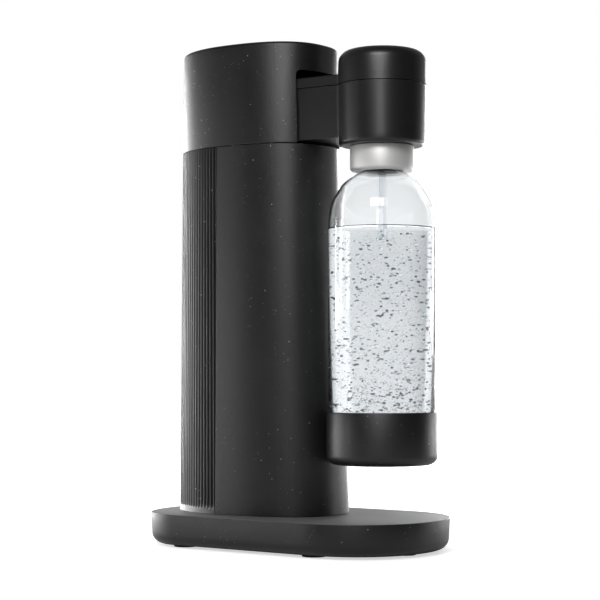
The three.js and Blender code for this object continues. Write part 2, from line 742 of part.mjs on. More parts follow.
// Valve block: from the seal a passage leads over and down to the port in front
function valveBlockPiece() {
  const foot = deckTop + fit.seat;
  const boreTop = cylinderValveTop + fit.seat + seal.height + fit.seat;
  const top = boreTop + valveBlock.roof;
  const { halfWidth, columnY, column, bridgeRear, passage } = valveBlock;
  const rear = cylinder.y + bridgeRear;
  const middle = columnY + column / 2;
  const passageZ = boreTop + valveBlock.passageRise;
  const body = join(
    block([-halfWidth, halfWidth], [columnY, columnY + column], [foot, top]),
    block(
      [-halfWidth, halfWidth],
      [columnY - valveBlock.toe, columnY - valveBlock.toe + valveBlock.footLength],
      [foot, foot + valveBlock.foot],
    ),
    block([-halfWidth, halfWidth], [columnY, rear], [boreTop - valveBlock.bridgeDrop, top]),
  );
  const cuts = [
    rod(
      valveBlock.boreRadius,
      [boreTop - valveBlock.bridgeDrop - fit.overrun, boreTop],
      sides.medium,
      [0, cylinder.y],
    ),
    rod(passage, [boreTop - fit.overrun, passageZ], sides.small, [0, cylinder.y]),
    longRod(passage, [middle, cylinder.y], [0, passageZ], sides.small),
    rod(passage, [portZ, passageZ], sides.small, [0, middle]),
    longRod(passage, [columnY, middle], [0, portZ], sides.small),
    longRod(
      valveBlock.portRadius,
      [columnY - fit.overrun, columnY + valveBlock.portDepth],
      [0, portZ],
      sides.small,
    ),
    ...blockScrewPlaces.map((place) => rod(
      screw.pilot, [foot - fit.overrun, foot + screw.length], sides.screw, place,
    )),
  ];
  return piece('valve_block', cut(body, ...cuts), greyPlastic);
}

// Hose fitting along Y: the spigot sits in a port, the barb points away from it
function hoseFitting(name, portY, way) {
  const along = (a, b) => [way * a, way * b].sort((first, second) => first - second);
  const hexEnd = fit.seat + fitting.hex;
  const body = cut(
    join(
      longRod(
        fitting.spigotRadius, along(-fitting.spigot, fit.seat + fitting.hex / 2), [0, 0], sides.small,
      ),
      longRod(fitting.hexRadius, along(fit.seat, hexEnd), [0, 0], sides.screw),
      longRod(
        fitting.barbRadius, along(hexEnd - fitting.hex / 2, hexEnd + fitting.barb), [0, 0], sides.small,
      ),
    ),
    longRod(
      fitting.bore,
      along(-fitting.spigot - fit.overrun, hexEnd + fitting.barb + fit.overrun),
      [0, 0], sides.screw,
    ),
  );
  return piece(name, body, brass, [0, portY, portZ]);
}

// Hose path: straight over both barbs, with a slight sag between them
class HosePath extends THREE.Curve {
  constructor(startY, endY, straight) {
    super();
    Object.assign(this, { startY, endY, straightShare: straight / Math.abs(startY - endY) });
  }

  getPoint(t, target = new THREE.Vector3()) {
    const share = (t - this.straightShare) / (1 - 2 * this.straightShare);
    const sag = hose.slack * Math.sin(Math.PI * Math.min(Math.max(share, 0), 1)) ** 2;
    return target.set(0, this.startY + (this.endY - this.startY) * t, -sag);
  }
}

function gasHose() {
  const reach = fit.seat + fitting.hex + fit.seat;
  const path = new HosePath(valveBlock.columnY - reach, bottleY + valveBody.radius + reach, fitting.barb);
  const circle = (radius) => Array.from({ length: sides.hose }, (_, i) => {
    const angle = 2 * Math.PI * (i / sides.hose);
    return new THREE.Vector2(radius * Math.cos(angle), radius * Math.sin(angle));
  });
  const section = new THREE.Shape(circle(hose.radius));
  section.holes.push(new THREE.Path(circle(hose.bore / Math.cos(Math.PI / sides.hose))));
  const geometry = new THREE.ExtrudeGeometry(section, { steps: hose.steps, extrudePath: path });
  return piece('gas_hose', solid(geometry), paleHose, [0, 0, portZ]);
}

// Plan of the arm and head in one outline: a round head with a straight arm behind, filleted together
function keyhole(radius, halfWidth, rear) {
  const reach = radius + arm.fillet;
  const side = halfWidth + arm.fillet;
  const along = Math.sqrt(reach ** 2 - side ** 2);
  const endAngle = Math.PI - Math.asin(side / reach);
  const half = sides.head / 2;
  const right = Array.from({ length: half }, (_, i) => {
    const angle = endAngle * ((i + 1) / half);
    return new THREE.Vector2(radius * Math.sin(angle), bottleY - radius * Math.cos(angle));
  });
  const slant = Math.atan2(along, side);
  for (let i = 1; i <= steps.edge; i += 1) {
    const angle = Math.PI + slant * (1 - i / steps.edge);
    right.push(new THREE.Vector2(
      side + arm.fillet * Math.cos(angle), bottleY + along + arm.fillet * Math.sin(angle),
    ));
  }
  right.push(new THREE.Vector2(halfWidth, rear));
  const left = right.map(({ x, y }) => new THREE.Vector2(-x, y)).reverse();
  return [new THREE.Vector2(0, bottleY - radius), ...right, ...left];
}

const armRear = tilt.y + tilt.barrel;
function headRadiusAt(z) {
  const share = (z - headFoot) / (armTop - headFoot);
  return head.footRadius + (head.radius - head.footRadius) * share;
}

// Takes the square lower rear corner off the arm, leaving it round about the tilt axle
function roundedRear(body, radius) {
  const reach = 2 * head.radius;
  const corner = cut(
    block([-reach, reach], [tilt.y, tilt.y + 2 * tilt.barrel], [pivotZ - 2 * tilt.barrel, pivotZ]),
    crossRod(radius, [-reach - fit.overrun, reach + fit.overrun], [tilt.y, pivotZ], sides.outline),
  );
  return cut(body, corner);
}

function headHousing() {
  const keyholeAt = (z) => keyhole(headRadiusAt(z), arm.halfWidth, armRear);
  const round = quarterRound(head.edgeRound, steps.edge).map(([out, up]) => [
    head.footRadius - out, headFoot + up,
  ]);
  const cavityFoot = armFoot + arm.floor;
  const outer = join(
    roundedRear(loft([armFoot, armTop].map((z) => ({ outline: keyholeAt(z), z }))), tilt.barrel),
    turned(
      [[0, headFoot], ...round, [headRadiusAt(armFoot), armFoot], [0, armFoot]], sides.body, [0, bottleY],
    ),
  );
  const cavity = join(
    roundedRear(loft([cavityFoot, armTop + fit.overrun].map((z) => (
      { outline: inset(keyholeAt(z), arm.wall), z }
    ))), tilt.barrel - arm.wall),
    rod(head.footRadius - head.wall, [headFloor, cavityFoot], sides.body, [0, bottleY]),
  );
  const bosses = holderScrewPlaces.map((place) => rod(
    head.bossRadius, [headFoot + head.floor / 2, nutTop], sides.small, place,
  ));
  const lugs = lugSpans.flatMap((span) => [
    block(
      span, [leverPinY - leverPin.lugRadius, leverPinY + leverPin.lugRadius],
      [leverPinZ - leverPin.lugDrop, leverPinZ],
    ),
    crossRod(leverPin.lugRadius, span, [leverPinY, leverPinZ], sides.medium),
  ]);
  const pinReach = arm.halfWidth - arm.wall;
  const cuts = [
    rod(
      collar.neckRadius + fit.seat,
      [headFoot - fit.overrun, headFloor + fit.overrun],
      sides.body,
      [0, bottleY],
    ),
    crossRod(leverPin.hole, [-pinReach, pinReach], [leverPinY, leverPinZ], sides.small),
    crossRod(
      tilt.axle + fit.running + tilt.bushWall + fit.seat,
      [-arm.halfWidth - fit.overrun, arm.halfWidth + fit.overrun], [tilt.y, pivotZ], sides.medium,
    ),
    block(
      [-arm.hoseHalfWidth, arm.hoseHalfWidth], [tilt.y, armRear + fit.overrun],
      [portZ - arm.hoseBelow, portZ + arm.hoseAbove],
    ),
    ...holderScrewPlaces.map((place) => rod(
      screw.pilot, [headFloor - head.floor * head.pilotShare, nutTop + fit.overrun], sides.screw, place,
    )),
  ];
  return piece('head_housing', cut(join(cut(outer, cavity), ...bosses, ...lugs), ...cuts), composite);
}

// Button: dome over the head, cover over the arm, post down to the stem
function buttonLever() {
  const wide = button.lipGap + button.lip;
  const foot = buttonFoot;
  const lipTop = foot + button.lipHeight;
  const armCoverTop = foot + button.armHeight;
  const domeFoot = armCoverTop - button.armEdge;
  const domeRadius = head.radius + wide;
  const rimRadius = domeRadius - button.narrowing;
  const fullTop = foot + button.height;
  const rimTop = fullTop - button.crown;
  const innerFoot = armCoverTop - button.wall;
  const round = quarterRound(button.round, steps.dome).reverse().map(([out, up]) => [
    rimRadius - out, rimTop - up,
  ]);
  const dome = turned([
    [0, domeFoot], [domeRadius, domeFoot], ...round,
    [(rimRadius - button.round) / 2, fullTop - button.crown * button.crownShare],
    [0, fullTop],
  ], sides.body, [0, bottleY]);
  const outline = keyhole(domeRadius, arm.halfWidth + wide, armRear + wide);
  const cover = loft([
    { outline, z: foot }, { outline, z: domeFoot },
    { outline: inset(outline, button.armEdge), z: armCoverTop },
  ]);
  const lipOutline = inset(outline, button.lip);
  const coverInner = inset(outline, button.wall);
  const hollow = join(
    loft([{ outline: lipOutline, z: foot - fit.overrun }, { outline: lipOutline, z: lipTop }]),
    loft([{ outline: coverInner, z: lipTop }, { outline: coverInner, z: innerFoot }]),
    turned([
      [0, innerFoot], [domeRadius - button.wall, innerFoot],
      [rimRadius - button.wall, rimTop - button.round],
      [rimRadius - button.round, rimTop - button.wall], [0, rimTop - button.wall],
    ], sides.body, [0, bottleY]),
  );
  const ears = earSpans.flatMap((span) => [
    block(
      span, [leverPinY - leverPin.lugRadius, leverPinY + leverPin.lugRadius],
      [leverPinZ, armCoverTop - button.wall / 2],
    ),
    crossRod(leverPin.lugRadius, span, [leverPinY, leverPinZ], sides.medium),
  ]);
  const post = rod(
    button.postRadius,
    [stemTop + fit.seat + pad.height + fit.seat, fullTop - button.wall],
    sides.medium, [0, bottleY],
  );
  const pinReach = arm.halfWidth - arm.wall - leverPin.lug;
  const pinHole = crossRod(leverPin.hole, [-pinReach, pinReach], [leverPinY, leverPinZ], sides.small);
  return piece(
    'button_lever', cut(join(cut(join(dome, cover), hollow), ...ears, post), pinHole), blackPlastic,
  );
}

function buttonPad() {
  return piece(
    'button_pad',
    rod(pad.radius, [0, pad.height], sides.medium),
    rubber,
    [0, bottleY, stemTop + fit.seat],
  );
}

function leverPinPiece() {
  const reach = arm.halfWidth - arm.wall - fit.seat;
  const body = crossRod(leverPin.radius, [-reach, reach], [0, 0], sides.small);
  return piece('lever_pin', body, steel, [0, leverPinY, leverPinZ]);
}

// Collar and nut that hold the bottle's neck under the head
function bottleCollar() {
  const {
    radius, height, chamfer, chamferIn, mouthRadius, mouth, neckRadius, boreRadius, neck, lip,
  } = collar;
  const profile = [
    [mouthRadius, -height], [radius - chamferIn, -height],
    [radius, chamfer - height], [radius, -lip], [radius - lip, 0],
    [neckRadius, 0], [neckRadius, neck], [boreRadius, neck],
    [boreRadius, mouth - height], [mouthRadius, mouth - height],
    [mouthRadius, -height],
  ];
  return piece('bottle_collar', turned(profile, sides.body), silver, [0, bottleY, collarTop]);
}

function collarNutPiece() {
  const body = ring(collar.neckRadius + fit.seat, collarNut.radius, [0, collarNut.height], sides.body);
  return piece('collar_nut', body, blackPlastic, [0, bottleY, nutFoot]);
}

// Nozzle holder: flange and spigot over the neck, boss for the tube, and a vent to the relief valve
function nozzleHolder() {
  const bossFoot = flangeTop - nozzle.boss;
  const tubeTop = bossFoot + nozzle.tubeSocket;
  const axis = [0, bottleY];
  const ventY = bottleY + nozzle.ventY;
  const ventZ = flangeFoot + nozzle.flange / 2;
  const body = turned([
    [0, bossFoot], [nozzle.bossRadius, bossFoot],
    [nozzle.bossRadius, spigotFoot], [nozzle.spigotRadius, spigotFoot],
    [nozzle.spigotRadius, flangeFoot],
    [nozzle.flangeRadius, flangeFoot],
    [nozzle.flangeRadius, flangeTop],
    [0, flangeTop],
  ], sides.inner, axis);
  const cuts = [
    rod(nozzle.tubeRadius + fit.seat, [bossFoot - fit.overrun, tubeTop + fit.seat], sides.small, axis),
    rod(nozzle.tubeBore, [tubeTop, flangeTop + fit.overrun], sides.small, axis),
    rod(nozzle.ventRadius, [spigotFoot - fit.overrun, ventZ], sides.screw, [nozzle.ventX, ventY]),
    crossRod(nozzle.ventRadius, [nozzle.ventX, relief.x], [ventY, ventZ], sides.screw),
    rod(nozzle.ventRadius, [ventZ, flangeTop + fit.overrun], sides.screw, [relief.x, ventY]),
    ...holderScrewPlaces.map((place) => rod(
      screw.hole, [flangeFoot - fit.overrun, flangeTop + fit.overrun], sides.screw, place,
    )),
  ];
  return piece('nozzle_holder', cut(body, ...cuts), greyPlastic);
}

function nozzleTube() {
  const { tubeRadius, tubeTipRadius, tubeBore, tubeLength, tubeSocket, boss } = nozzle;
  const taper = tubeLength / 2;
  const profile = [
    [tubeBore, -tubeLength], [tubeTipRadius, -tubeLength],
    [tubeTipRadius, -taper], [tubeRadius, tubeRadius - taper],
    [tubeRadius, 0], [tubeBore, 0], [tubeBore, -tubeLength],
  ];
  const top = flangeTop - boss + tubeSocket;
  return piece('nozzle_tube', turned(profile, sides.small), greyPlastic, [0, bottleY, top]);
}

function bottleGasket() {
  const body = ring(gasket.inner, gasket.outer, [0, gasket.height], sides.medium);
  return piece('bottle_gasket', body, rubber, [0, bottleY, bottleTop + fit.seat]);
}

// Head valve: stem bore from the top, outlet below, hose port behind
function headValve() {
  const { radius, height, bore, boreDepth } = valveBody;
  const port = portZ - valveBodyFoot;
  const cuts = [
    rod(bore, [height - boreDepth, height + fit.overrun], sides.small),
    rod(valveBlock.passage, [-fit.overrun, height - boreDepth + fit.overrun], sides.small),
    longRod(valveBlock.passage, [0, radius], [0, port], sides.small),
    longRod(
      valveBlock.portRadius,
      [radius - valveBlock.portDepth, radius + fit.overrun],
      [0, port],
      sides.small,
    ),
  ];
  const body = cut(rod(radius, [0, height], sides.medium), ...cuts);
  return piece('head_valve', body, brass, [0, bottleY, valveBodyFoot]);
}

function valveStem() {
  const profile = [
    [0, -stem.reach], [stem.radius, -stem.reach], [stem.radius, stem.rise - stem.cap],
    [stem.capRadius, stem.rise - stem.cap], [stem.capRadius, stem.rise], [0, stem.rise],
  ];
  return piece('valve_stem', turned(profile, sides.small), steel, [0, bottleY, valveBodyTop]);
}

function reliefBody() {
  const { radius, bore, height, roof, stemRadius } = relief;
  const hole = stemRadius + fit.seat;
  const profile = [
    [bore, 0], [radius, 0], [radius, height], [hole, height],
    [hole, height - roof], [bore, height - roof], [bore, 0],
  ];
  return piece('relief_body', turned(profile, sides.medium), brass, reliefPlace);
}

function reliefPoppet() {
  const { stemRadius, stemRise, disc, discRadius, height } = relief;
  const top = height + stemRise;
  const profile = [
    [0, fit.seat], [discRadius, fit.seat], [discRadius, disc],
    [stemRadius, disc], [stemRadius, top], [0, top],
  ];
  return piece('relief_poppet', turned(profile, sides.small), steel, reliefPlace);
}

// Compression spring between two levels: one tube, its ends straight and square to what they meet
function spring(name, { radius, wire, curls }, [foot, top], place) {
  const [start, end] = [foot + fit.seat, top - fit.seat];
  const rise = end - start - 2 * wire;
  const centres = [new THREE.Vector3(radius, 0, start)];
  for (let i = 0; i <= curls * sides.curl; i += 1) {
    const angle = 2 * Math.PI * (i / sides.curl);
    const z = start + wire + rise * (i / (curls * sides.curl));
    centres.push(new THREE.Vector3(radius * Math.cos(angle), radius * Math.sin(angle), z));
  }
  centres.push(new THREE.Vector3(radius, 0, end));
  const rings = centres.map((centre, i) => {
    const next = centres[Math.min(i + 1, centres.length - 1)];
    const ahead = next.clone().sub(centres[Math.max(i - 1, 0)]);
    const out = new THREE.Vector3(centre.x, centre.y, 0).normalize();
    const across = ahead.cross(out).normalize();
    return Array.from({ length: sides.wire }, (_, k) => {
      const angle = 2 * Math.PI * (k / sides.wire);
      return centre.clone().addScaledVector(out, (wire / 2) * Math.cos(angle))
        .addScaledVector(across, (wire / 2) * Math.sin(angle));
    });
  });
  const cap = Array.from({ length: sides.wire - 2 }, (_, i) => [0, i + 1, i + 2]);
  const leastGap = Math.min(...centres.flatMap((a, i) => centres
    .filter((b, j) => j - i > sides.curl / 2).map((b) => a.distanceTo(b) - wire)));
  console.log(`${name}: least gap to itself ${leastGap.toFixed(2)} mm`);
  return piece(name, stack(rings, cap), steel, place);
}

// Bottle: round foot, straight body, curved shoulder, neck with a bead
function bottlePiece() {
  const {
    radius, wall, height, footRadius, footRound, footHeight, neckRadius, neckBore, collarRadius,
  } = bottle;
  const shoulderTop = height - bottle.shoulderDrop;
  const shoulderFoot = shoulderTop - bottle.shoulderHeight;
  const beadFoot = height - bottle.beadDrop - bottle.bead;
  const shoulder = shoulderRadiusShares.map((share, i) => [
    bottle.shoulderRadius + (radius - bottle.shoulderRadius) * share,
    shoulderFoot + bottle.shoulderHeight * shoulderHeightShares[i],
  ]);
  const foot = quarterRound(footRound, steps.edge);
  const outer = [
    [0, 0], ...foot.map(([out, up]) => [footRadius - out, up]), [footRadius, footHeight],
    [radius, footHeight + wall], ...shoulder,
    [collarRadius, shoulderTop + wall / 2], [collarRadius, beadFoot],
    [bottle.beadRadius, beadFoot], [bottle.beadRadius, beadFoot + bottle.bead],
    [neckRadius, beadFoot + bottle.bead], [neckRadius, height],
  ];
  const inner = [
    [neckBore, height], [neckBore, shoulderTop],
    ...shoulder.filter((point, i) => i % 2 === 0).reverse().map(([r, z]) => [
      r - wall, z - bottle.shoulderWall,
    ]),
    [radius - wall, footHeight + 2 * wall], [footRadius - wall, footHeight],
    ...foot.map(([out, up]) => [
      footRadius - out * ((footRound - wall) / footRound) - wall,
      wall + up * ((footRound - wall) / footRound),
    ])
      .reverse(),
    [0, wall],
  ];
  return piece(
    'bottle', turned([...outer, ...inner], sides.body), clearPlastic, [0, bottleY, bottleFoot],
  );
}

function bottleCup() {
  const { radius, wall, height, round, floor, rimRound } = cup;
  const lower = quarterRound(round, steps.edge).map(([out, up]) => [radius - out, up]);
  const rim = quarterRound(rimRound, steps.bevel).reverse().map(([out, up]) => [radius - out, height - up]);
  const inner = radius - wall;
  const profile = [
    [0, 0], ...lower, ...rim, [inner, height], [inner, round],
    [inner - (round - floor), floor], [0, floor],
  ];
  return piece(
    'bottle_cup', turned(profile, sides.body), composite, [0, bottleY, cupFoot],
  );
}

function screwSets() {
  const headSink = screw.headHeight;
  const numbered = (name, places, z, pointsUp) => places.map(([x, y], i) => (
    screwPiece(`${name}_${i + 1}`, [x, y, z], pointsUp)
  ));
  return [
    ...numbered('floor_screw', floorScrewPlaces, plateFoot, true),
    ...numbered('frame_screw', frameScrewPlaces, towerFoot + frame.flange + headSink, false),
    ...numbered('hood_screw', hoodScrewPlaces, deckTop - frame.deck - headSink, true),
    ...numbered('block_screw', blockScrewPlaces, deckTop - frame.deck - headSink, true),
    ...numbered('bracket_screw', bracketScrewPlaces, deckTop + fit.seat + tilt.plate + headSink, false),
    ...numbered('holder_screw', holderScrewPlaces, flangeTop + headSink, false),
  ];
}

function sodaCarbonator() {
  const group = new THREE.Group();
  group.name = 'soda_carbonator';
  const footNames = [
    'foot_front', 'foot_middle_left', 'foot_rear_left', 'foot_middle_right', 'foot_rear_right',
  ];
  group.add(
    baseShell(),
    basePlate(),
    ...footPlaces.map((place, i) => rubberFoot(footNames[i], place)),
    towerShell(),
    rearCover(),
    hoodShell(),
    innerFrame(),
    tiltBracket(),
    tiltAxle(),
    tiltBush('tilt_bush_left', -1),
    tiltBush('tilt_bush_right', 1),
    gasCylinder(),
    cylinderValvePiece(),
    cylinderCupPiece(),
    cylinderSeal(),
    valveBlockPiece(),
    hoseFitting('block_fitting', valveBlock.columnY, -1),
    hoseFitting('head_fitting', bottleY + valveBody.radius, 1),
    gasHose(),
    headHousing(),
    buttonLever(),
    buttonPad(),
    leverPinPiece(),
    bottleCollar(),
    collarNutPiece(),
    nozzleHolder(),
    nozzleTube(),
    bottleGasket(),
    headValve(),
    valveStem(),
    spring('stem_spring', stemSpring, [valveBodyTop, stemTop - stem.cap], [0, bottleY, 0]),
    reliefBody(),
    reliefPoppet(),
    spring('relief_spring', reliefSpring, [relief.disc, relief.height - relief.roof], reliefPlace),
    bottlePiece(),
    bottleCup(),
    ...screwSets(),
  );
  return group;
}

export default sodaCarbonator();
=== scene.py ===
import json
import math
import random

import bmesh
import bpy
from mathutils import Matrix, Vector


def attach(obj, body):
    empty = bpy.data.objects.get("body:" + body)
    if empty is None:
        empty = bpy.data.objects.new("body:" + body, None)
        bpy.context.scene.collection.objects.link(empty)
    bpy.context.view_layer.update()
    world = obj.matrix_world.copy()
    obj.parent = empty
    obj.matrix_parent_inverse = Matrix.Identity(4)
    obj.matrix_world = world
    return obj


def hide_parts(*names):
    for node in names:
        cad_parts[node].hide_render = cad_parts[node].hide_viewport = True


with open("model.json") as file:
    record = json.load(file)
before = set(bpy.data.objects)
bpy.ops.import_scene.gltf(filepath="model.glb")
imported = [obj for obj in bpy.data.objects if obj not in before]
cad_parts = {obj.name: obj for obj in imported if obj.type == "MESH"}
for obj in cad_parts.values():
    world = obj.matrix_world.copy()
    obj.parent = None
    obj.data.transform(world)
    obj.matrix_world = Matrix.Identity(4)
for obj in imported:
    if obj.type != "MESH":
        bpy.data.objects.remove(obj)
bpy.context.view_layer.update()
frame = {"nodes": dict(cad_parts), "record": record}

mm = 0.001  # sizes of pieces are in millimetres, the scene is in metres
white = (1, 1, 1, 1)

view = {  # place in metres, turn in degrees, lens in millimetres, rise in picture widths
    "x": -1.1929, "y": -0.8895, "z": 0.15, "turn": -53.29, "lens": 105.65, "rise": 0.1157,
}

camera = bpy.data.objects.new("camera", bpy.data.cameras.new("camera"))
camera.data.lens = view["lens"]
camera.data.shift_y = view["rise"]
camera.location = (view["x"], view["y"], view["z"])
camera.rotation_euler = (math.radians(90), 0, math.radians(view["turn"]))
bpy.context.scene.collection.objects.link(camera)
bpy.context.scene.camera = camera
bpy.context.scene.view_settings.view_transform = "Standard"
print("camera set")


class Value:
    # one socket in a finish, so that sums on it read as plain maths
    def __init__(self, finish, socket):
        self.finish = finish
        self.socket = socket

    def sum(self, operation, *others):
        inputs = {place: other for place, other in enumerate((self,) + others)}
        return self.finish.node("ShaderNodeMath", {"operation": operation}, inputs)

    def __add__(self, other):
        return self.sum("ADD", other)

    def __radd__(self, other):
        return self.sum("ADD", other)

    def __sub__(self, other):
        return self.sum("SUBTRACT", other)

    def __rsub__(self, other):
        return (self * -1) + other

    def __mul__(self, other):
        return self.sum("MULTIPLY", other)

    def __rmul__(self, other):
        return self.sum("MULTIPLY", other)

    def clipped(self):
        return self.sum("MAXIMUM", 0).sum("MINIMUM", 1)

    def ramp(self, start, gain):
        # 0 at start, then up to 1 at the rate gain; a negative gain rises towards lower values
        return ((self - start) * gain).clipped()


class Finish:
    # a material with its nodes
    def __init__(self, name):
        self.material = bpy.data.materials.new(name)
        self.material.use_nodes = True
        self.tree = self.material.node_tree
        self.shader = self.tree.nodes["Principled BSDF"]

    def node(self, kind, settings=None, inputs=None, output=0):
        node = self.tree.nodes.new(kind)
        for key, value in (settings or {}).items():
            setattr(node, key, value)
        for key, value in (inputs or {}).items():
            self.join(value, node.inputs[key])
        return Value(self, node.outputs[output])

    def join(self, value, socket):
        if isinstance(value, Value):
            self.tree.links.new(value.socket, socket)
        else:
            socket.default_value = value

    def set(self, **inputs):
        for key, value in inputs.items():
            self.join(value, self.shader.inputs[key.replace("_", " ")])

    def place(self):
        return self.node("ShaderNodeTexCoord", output="Object")

    def ray(self, kind):
        return self.node("ShaderNodeLightPath", output=f"Is {kind} Ray")

    def noise(self, place, scale, detail, roughness=0.5):
        return self.node("ShaderNodeTexNoise", {}, {
            "Vector": place, "Scale": scale, "Detail": detail, "Roughness": roughness}, "Fac")

    def mix(self, share, first, second):
        return self.node("ShaderNodeMix", {"data_type": "RGBA"}, {0: share, 6: first, 7: second}, 2)

    def bump(self, height, depth):
        inputs = {"Height": height, "Distance": depth, "Strength": 1}
        return self.node("ShaderNodeBump", {}, inputs, "Normal")


stage = {
    "size": 12, "colour": (0.85, 0.85, 0.85, 1),
    "shadow": 0.6, "fadeFrom": 0.1, "fadeGain": 1.2,  # white near the object, and its rise outwards
}


def floorFinish(name):
    # grey to the object; to the camera it fades to white outwards, and keeps the shadow
    finish = Finish(name)
    seen = finish.ray("Camera") + finish.ray("Transmission")
    distance = finish.node("ShaderNodeVectorMath", {"operation": "LENGTH"},
                           {0: finish.place()}, "Value")
    glow = distance.ramp(stage["fadeFrom"], stage["fadeGain"]) * (1 - stage["shadow"])
    finish.set(Base_Color=stage["colour"], Roughness=1, Specular_IOR_Level=0)
    finish.set(Emission_Color=white, Emission_Strength=seen * (glow + stage["shadow"]))
    return finish.material


floorMesh = bmesh.new()
bmesh.ops.create_grid(floorMesh, x_segments=1, y_segments=1, size=stage["size"])
floorData = bpy.data.meshes.new("floor")
floorMesh.to_mesh(floorData)
floorMesh.free()
floor = bpy.data.objects.new("floor", floorData)
floor.data.materials.append(floorFinish("floor"))
bpy.context.scene.collection.objects.link(floor)

studio = {
    "front": 0.006, "back": 0.22, "backGain": 2,  # light from before and from behind the object
    "backdrop": 1.15, "backdropFrom": 0.8, "backdropGain": 5,  # bright patch right behind it
    "through": 0.98, "bright": 1.35, "side": 0.2,  # seen through the bottle: middle, edges, front
    "throughTurn": 0.08, "throughFrom": 0.87, "throughGain": 40,
    "dimming": 0.35, "dimFrom": 0.2, "dimGain": 2.5,  # the middle's darker left part
    "sideFrom": 0.5, "sideGain": -4,
}


class Surround(Finish):
    # the studio: bright behind the object, dim in front; through the bottle it shows its own bands
    def __init__(self, name):
        self.world = bpy.data.worlds.new(name)
        self.world.use_nodes = True
        self.tree = self.world.node_tree
        self.shader = self.tree.nodes["Background"]
        facing = math.radians(view["turn"])
        opposite = facing + studio["throughTurn"]
        behind = self.towards((-math.sin(facing), math.cos(facing), 0))
        aside = self.towards((-math.cos(facing), -math.sin(facing), 0))
        through = self.towards((-math.sin(opposite), math.cos(opposite), 0))
        rise = behind.ramp(0, studio["backGain"]) * (studio["back"] - studio["front"])
        patch = behind.ramp(studio["backdropFrom"], studio["backdropGain"]) * studio["backdrop"]
        level = rise + studio["front"] + patch
        middle = aside.ramp(studio["dimFrom"], studio["dimGain"]) * -studio["dimming"]
        middle = middle + studio["through"]
        bands = through.ramp(studio["throughFrom"], studio["throughGain"])
        bands = bands * (middle - studio["bright"]) + studio["bright"]
        nearer = behind.ramp(studio["sideFrom"], studio["sideGain"])
        bands = bands - nearer * (studio["bright"] - studio["side"])
        level = level + (bands - level) * self.ray("Transmission")
        level = level + (1 - level) * self.ray("Camera")
        self.set(Color=white, Strength=level)

    def towards(self, way):
        looked = self.node("ShaderNodeTexCoord", output="Generated")
        return self.node("ShaderNodeVectorMath", {"operation": "DOT_PRODUCT"},
                         {0: looked, 1: way}, "Value")


bpy.context.scene.world = Surround("studio").world

aim = Vector((0, 0, 0.2))
lamps = {  # bearing from the camera's, lift, distance, width, height and power
    "key": (-10, 36, 1.3, 0.6, 0.45, 8.5),
    "high right": (6, 34, 1.3, 0.3, 0.4, 1.2),
    "middle": (-4, 15, 1.3, 0.3, 0.3, 1.7),
    "left rim": (-145, 4, 1.4, 0.25, 0.6, 13),
    "left edge": (-122, 0, 1.4, 0.25, 0.6, 7.5),
    "left low": (-112, -5, 1.3, 0.3, 0.14, 2),
    "left fill": (-98, 2, 1.4, 0.25, 0.5, 1.8),
    "left front": (-76, 0, 1.4, 0.25, 0.4, 1.6),
    "right rim": (158, 4, 1.4, 0.35, 0.7, 12),
    "right edge": (132, 3, 1.4, 0.2, 0.6, 2),
    "right low": (122, -4, 1.3, 0.2, 0.14, 1.5),
}


def hangLamp(name, turn, lift, distance, width, height, power):
    # a soft box aimed at the middle of the object, and not seen through the bottle
    light = bpy.data.lights.new(name, "AREA")
    light.shape = "RECTANGLE"
    light.size = width
    light.size_y = height
    light.energy = power
    holder = bpy.data.objects.new(name, light)
    bearing, rise = math.radians(view["turn"] + turn), math.radians(lift)
    level = math.cos(rise)
    out = Vector((math.sin(bearing) * level, -math.cos(bearing) * level, math.sin(rise)))
    holder.location = aim + out * distance
    holder.rotation_euler = out.to_track_quat("Z", "Y").to_euler()
    holder.visible_transmission = False
    bpy.context.scene.collection.objects.link(holder)


for name, row in lamps.items():
    hangLamp(name, *row)
print("stage set")

composite = {  # a noise is given by its scale, detail and roughness
    "cloud": (28, 4, 0.6), "patch": (11, 2), "fine": (1000, 3, 0.7),
    "dark": (0.0035, 0.0035, 0.0036, 1), "light": (0.01, 0.01, 0.0102, 1),
    "grain": (0.02, 0.02, 0.0204, 1), "grainFrom": 0.4, "grainGain": 2, "grainShare": 0.6,
    "specks": ((190, 0.46), (330, 0.42)),  # scale of the cells, and how few of them hold a speck
    "speck": (0.4, 0.39, 0.375, 1), "speckShare": 0.8, "speckSize": 0.19, "speckGain": 40,
    "patchiness": 0.7,
    "roughness": 0.28, "cloudRoughness": 0.1, "fineRoughness": 0.12, "bump": 0.00016,
    # pale: the colour of a painted sheen, standing in for the light that falls on the base's
    # grooved top
    "pale": (0.13, 0.13, 0.132, 1), "paintedSheenRoughness": 0.08, "paintedSheenGain": 4000,
}


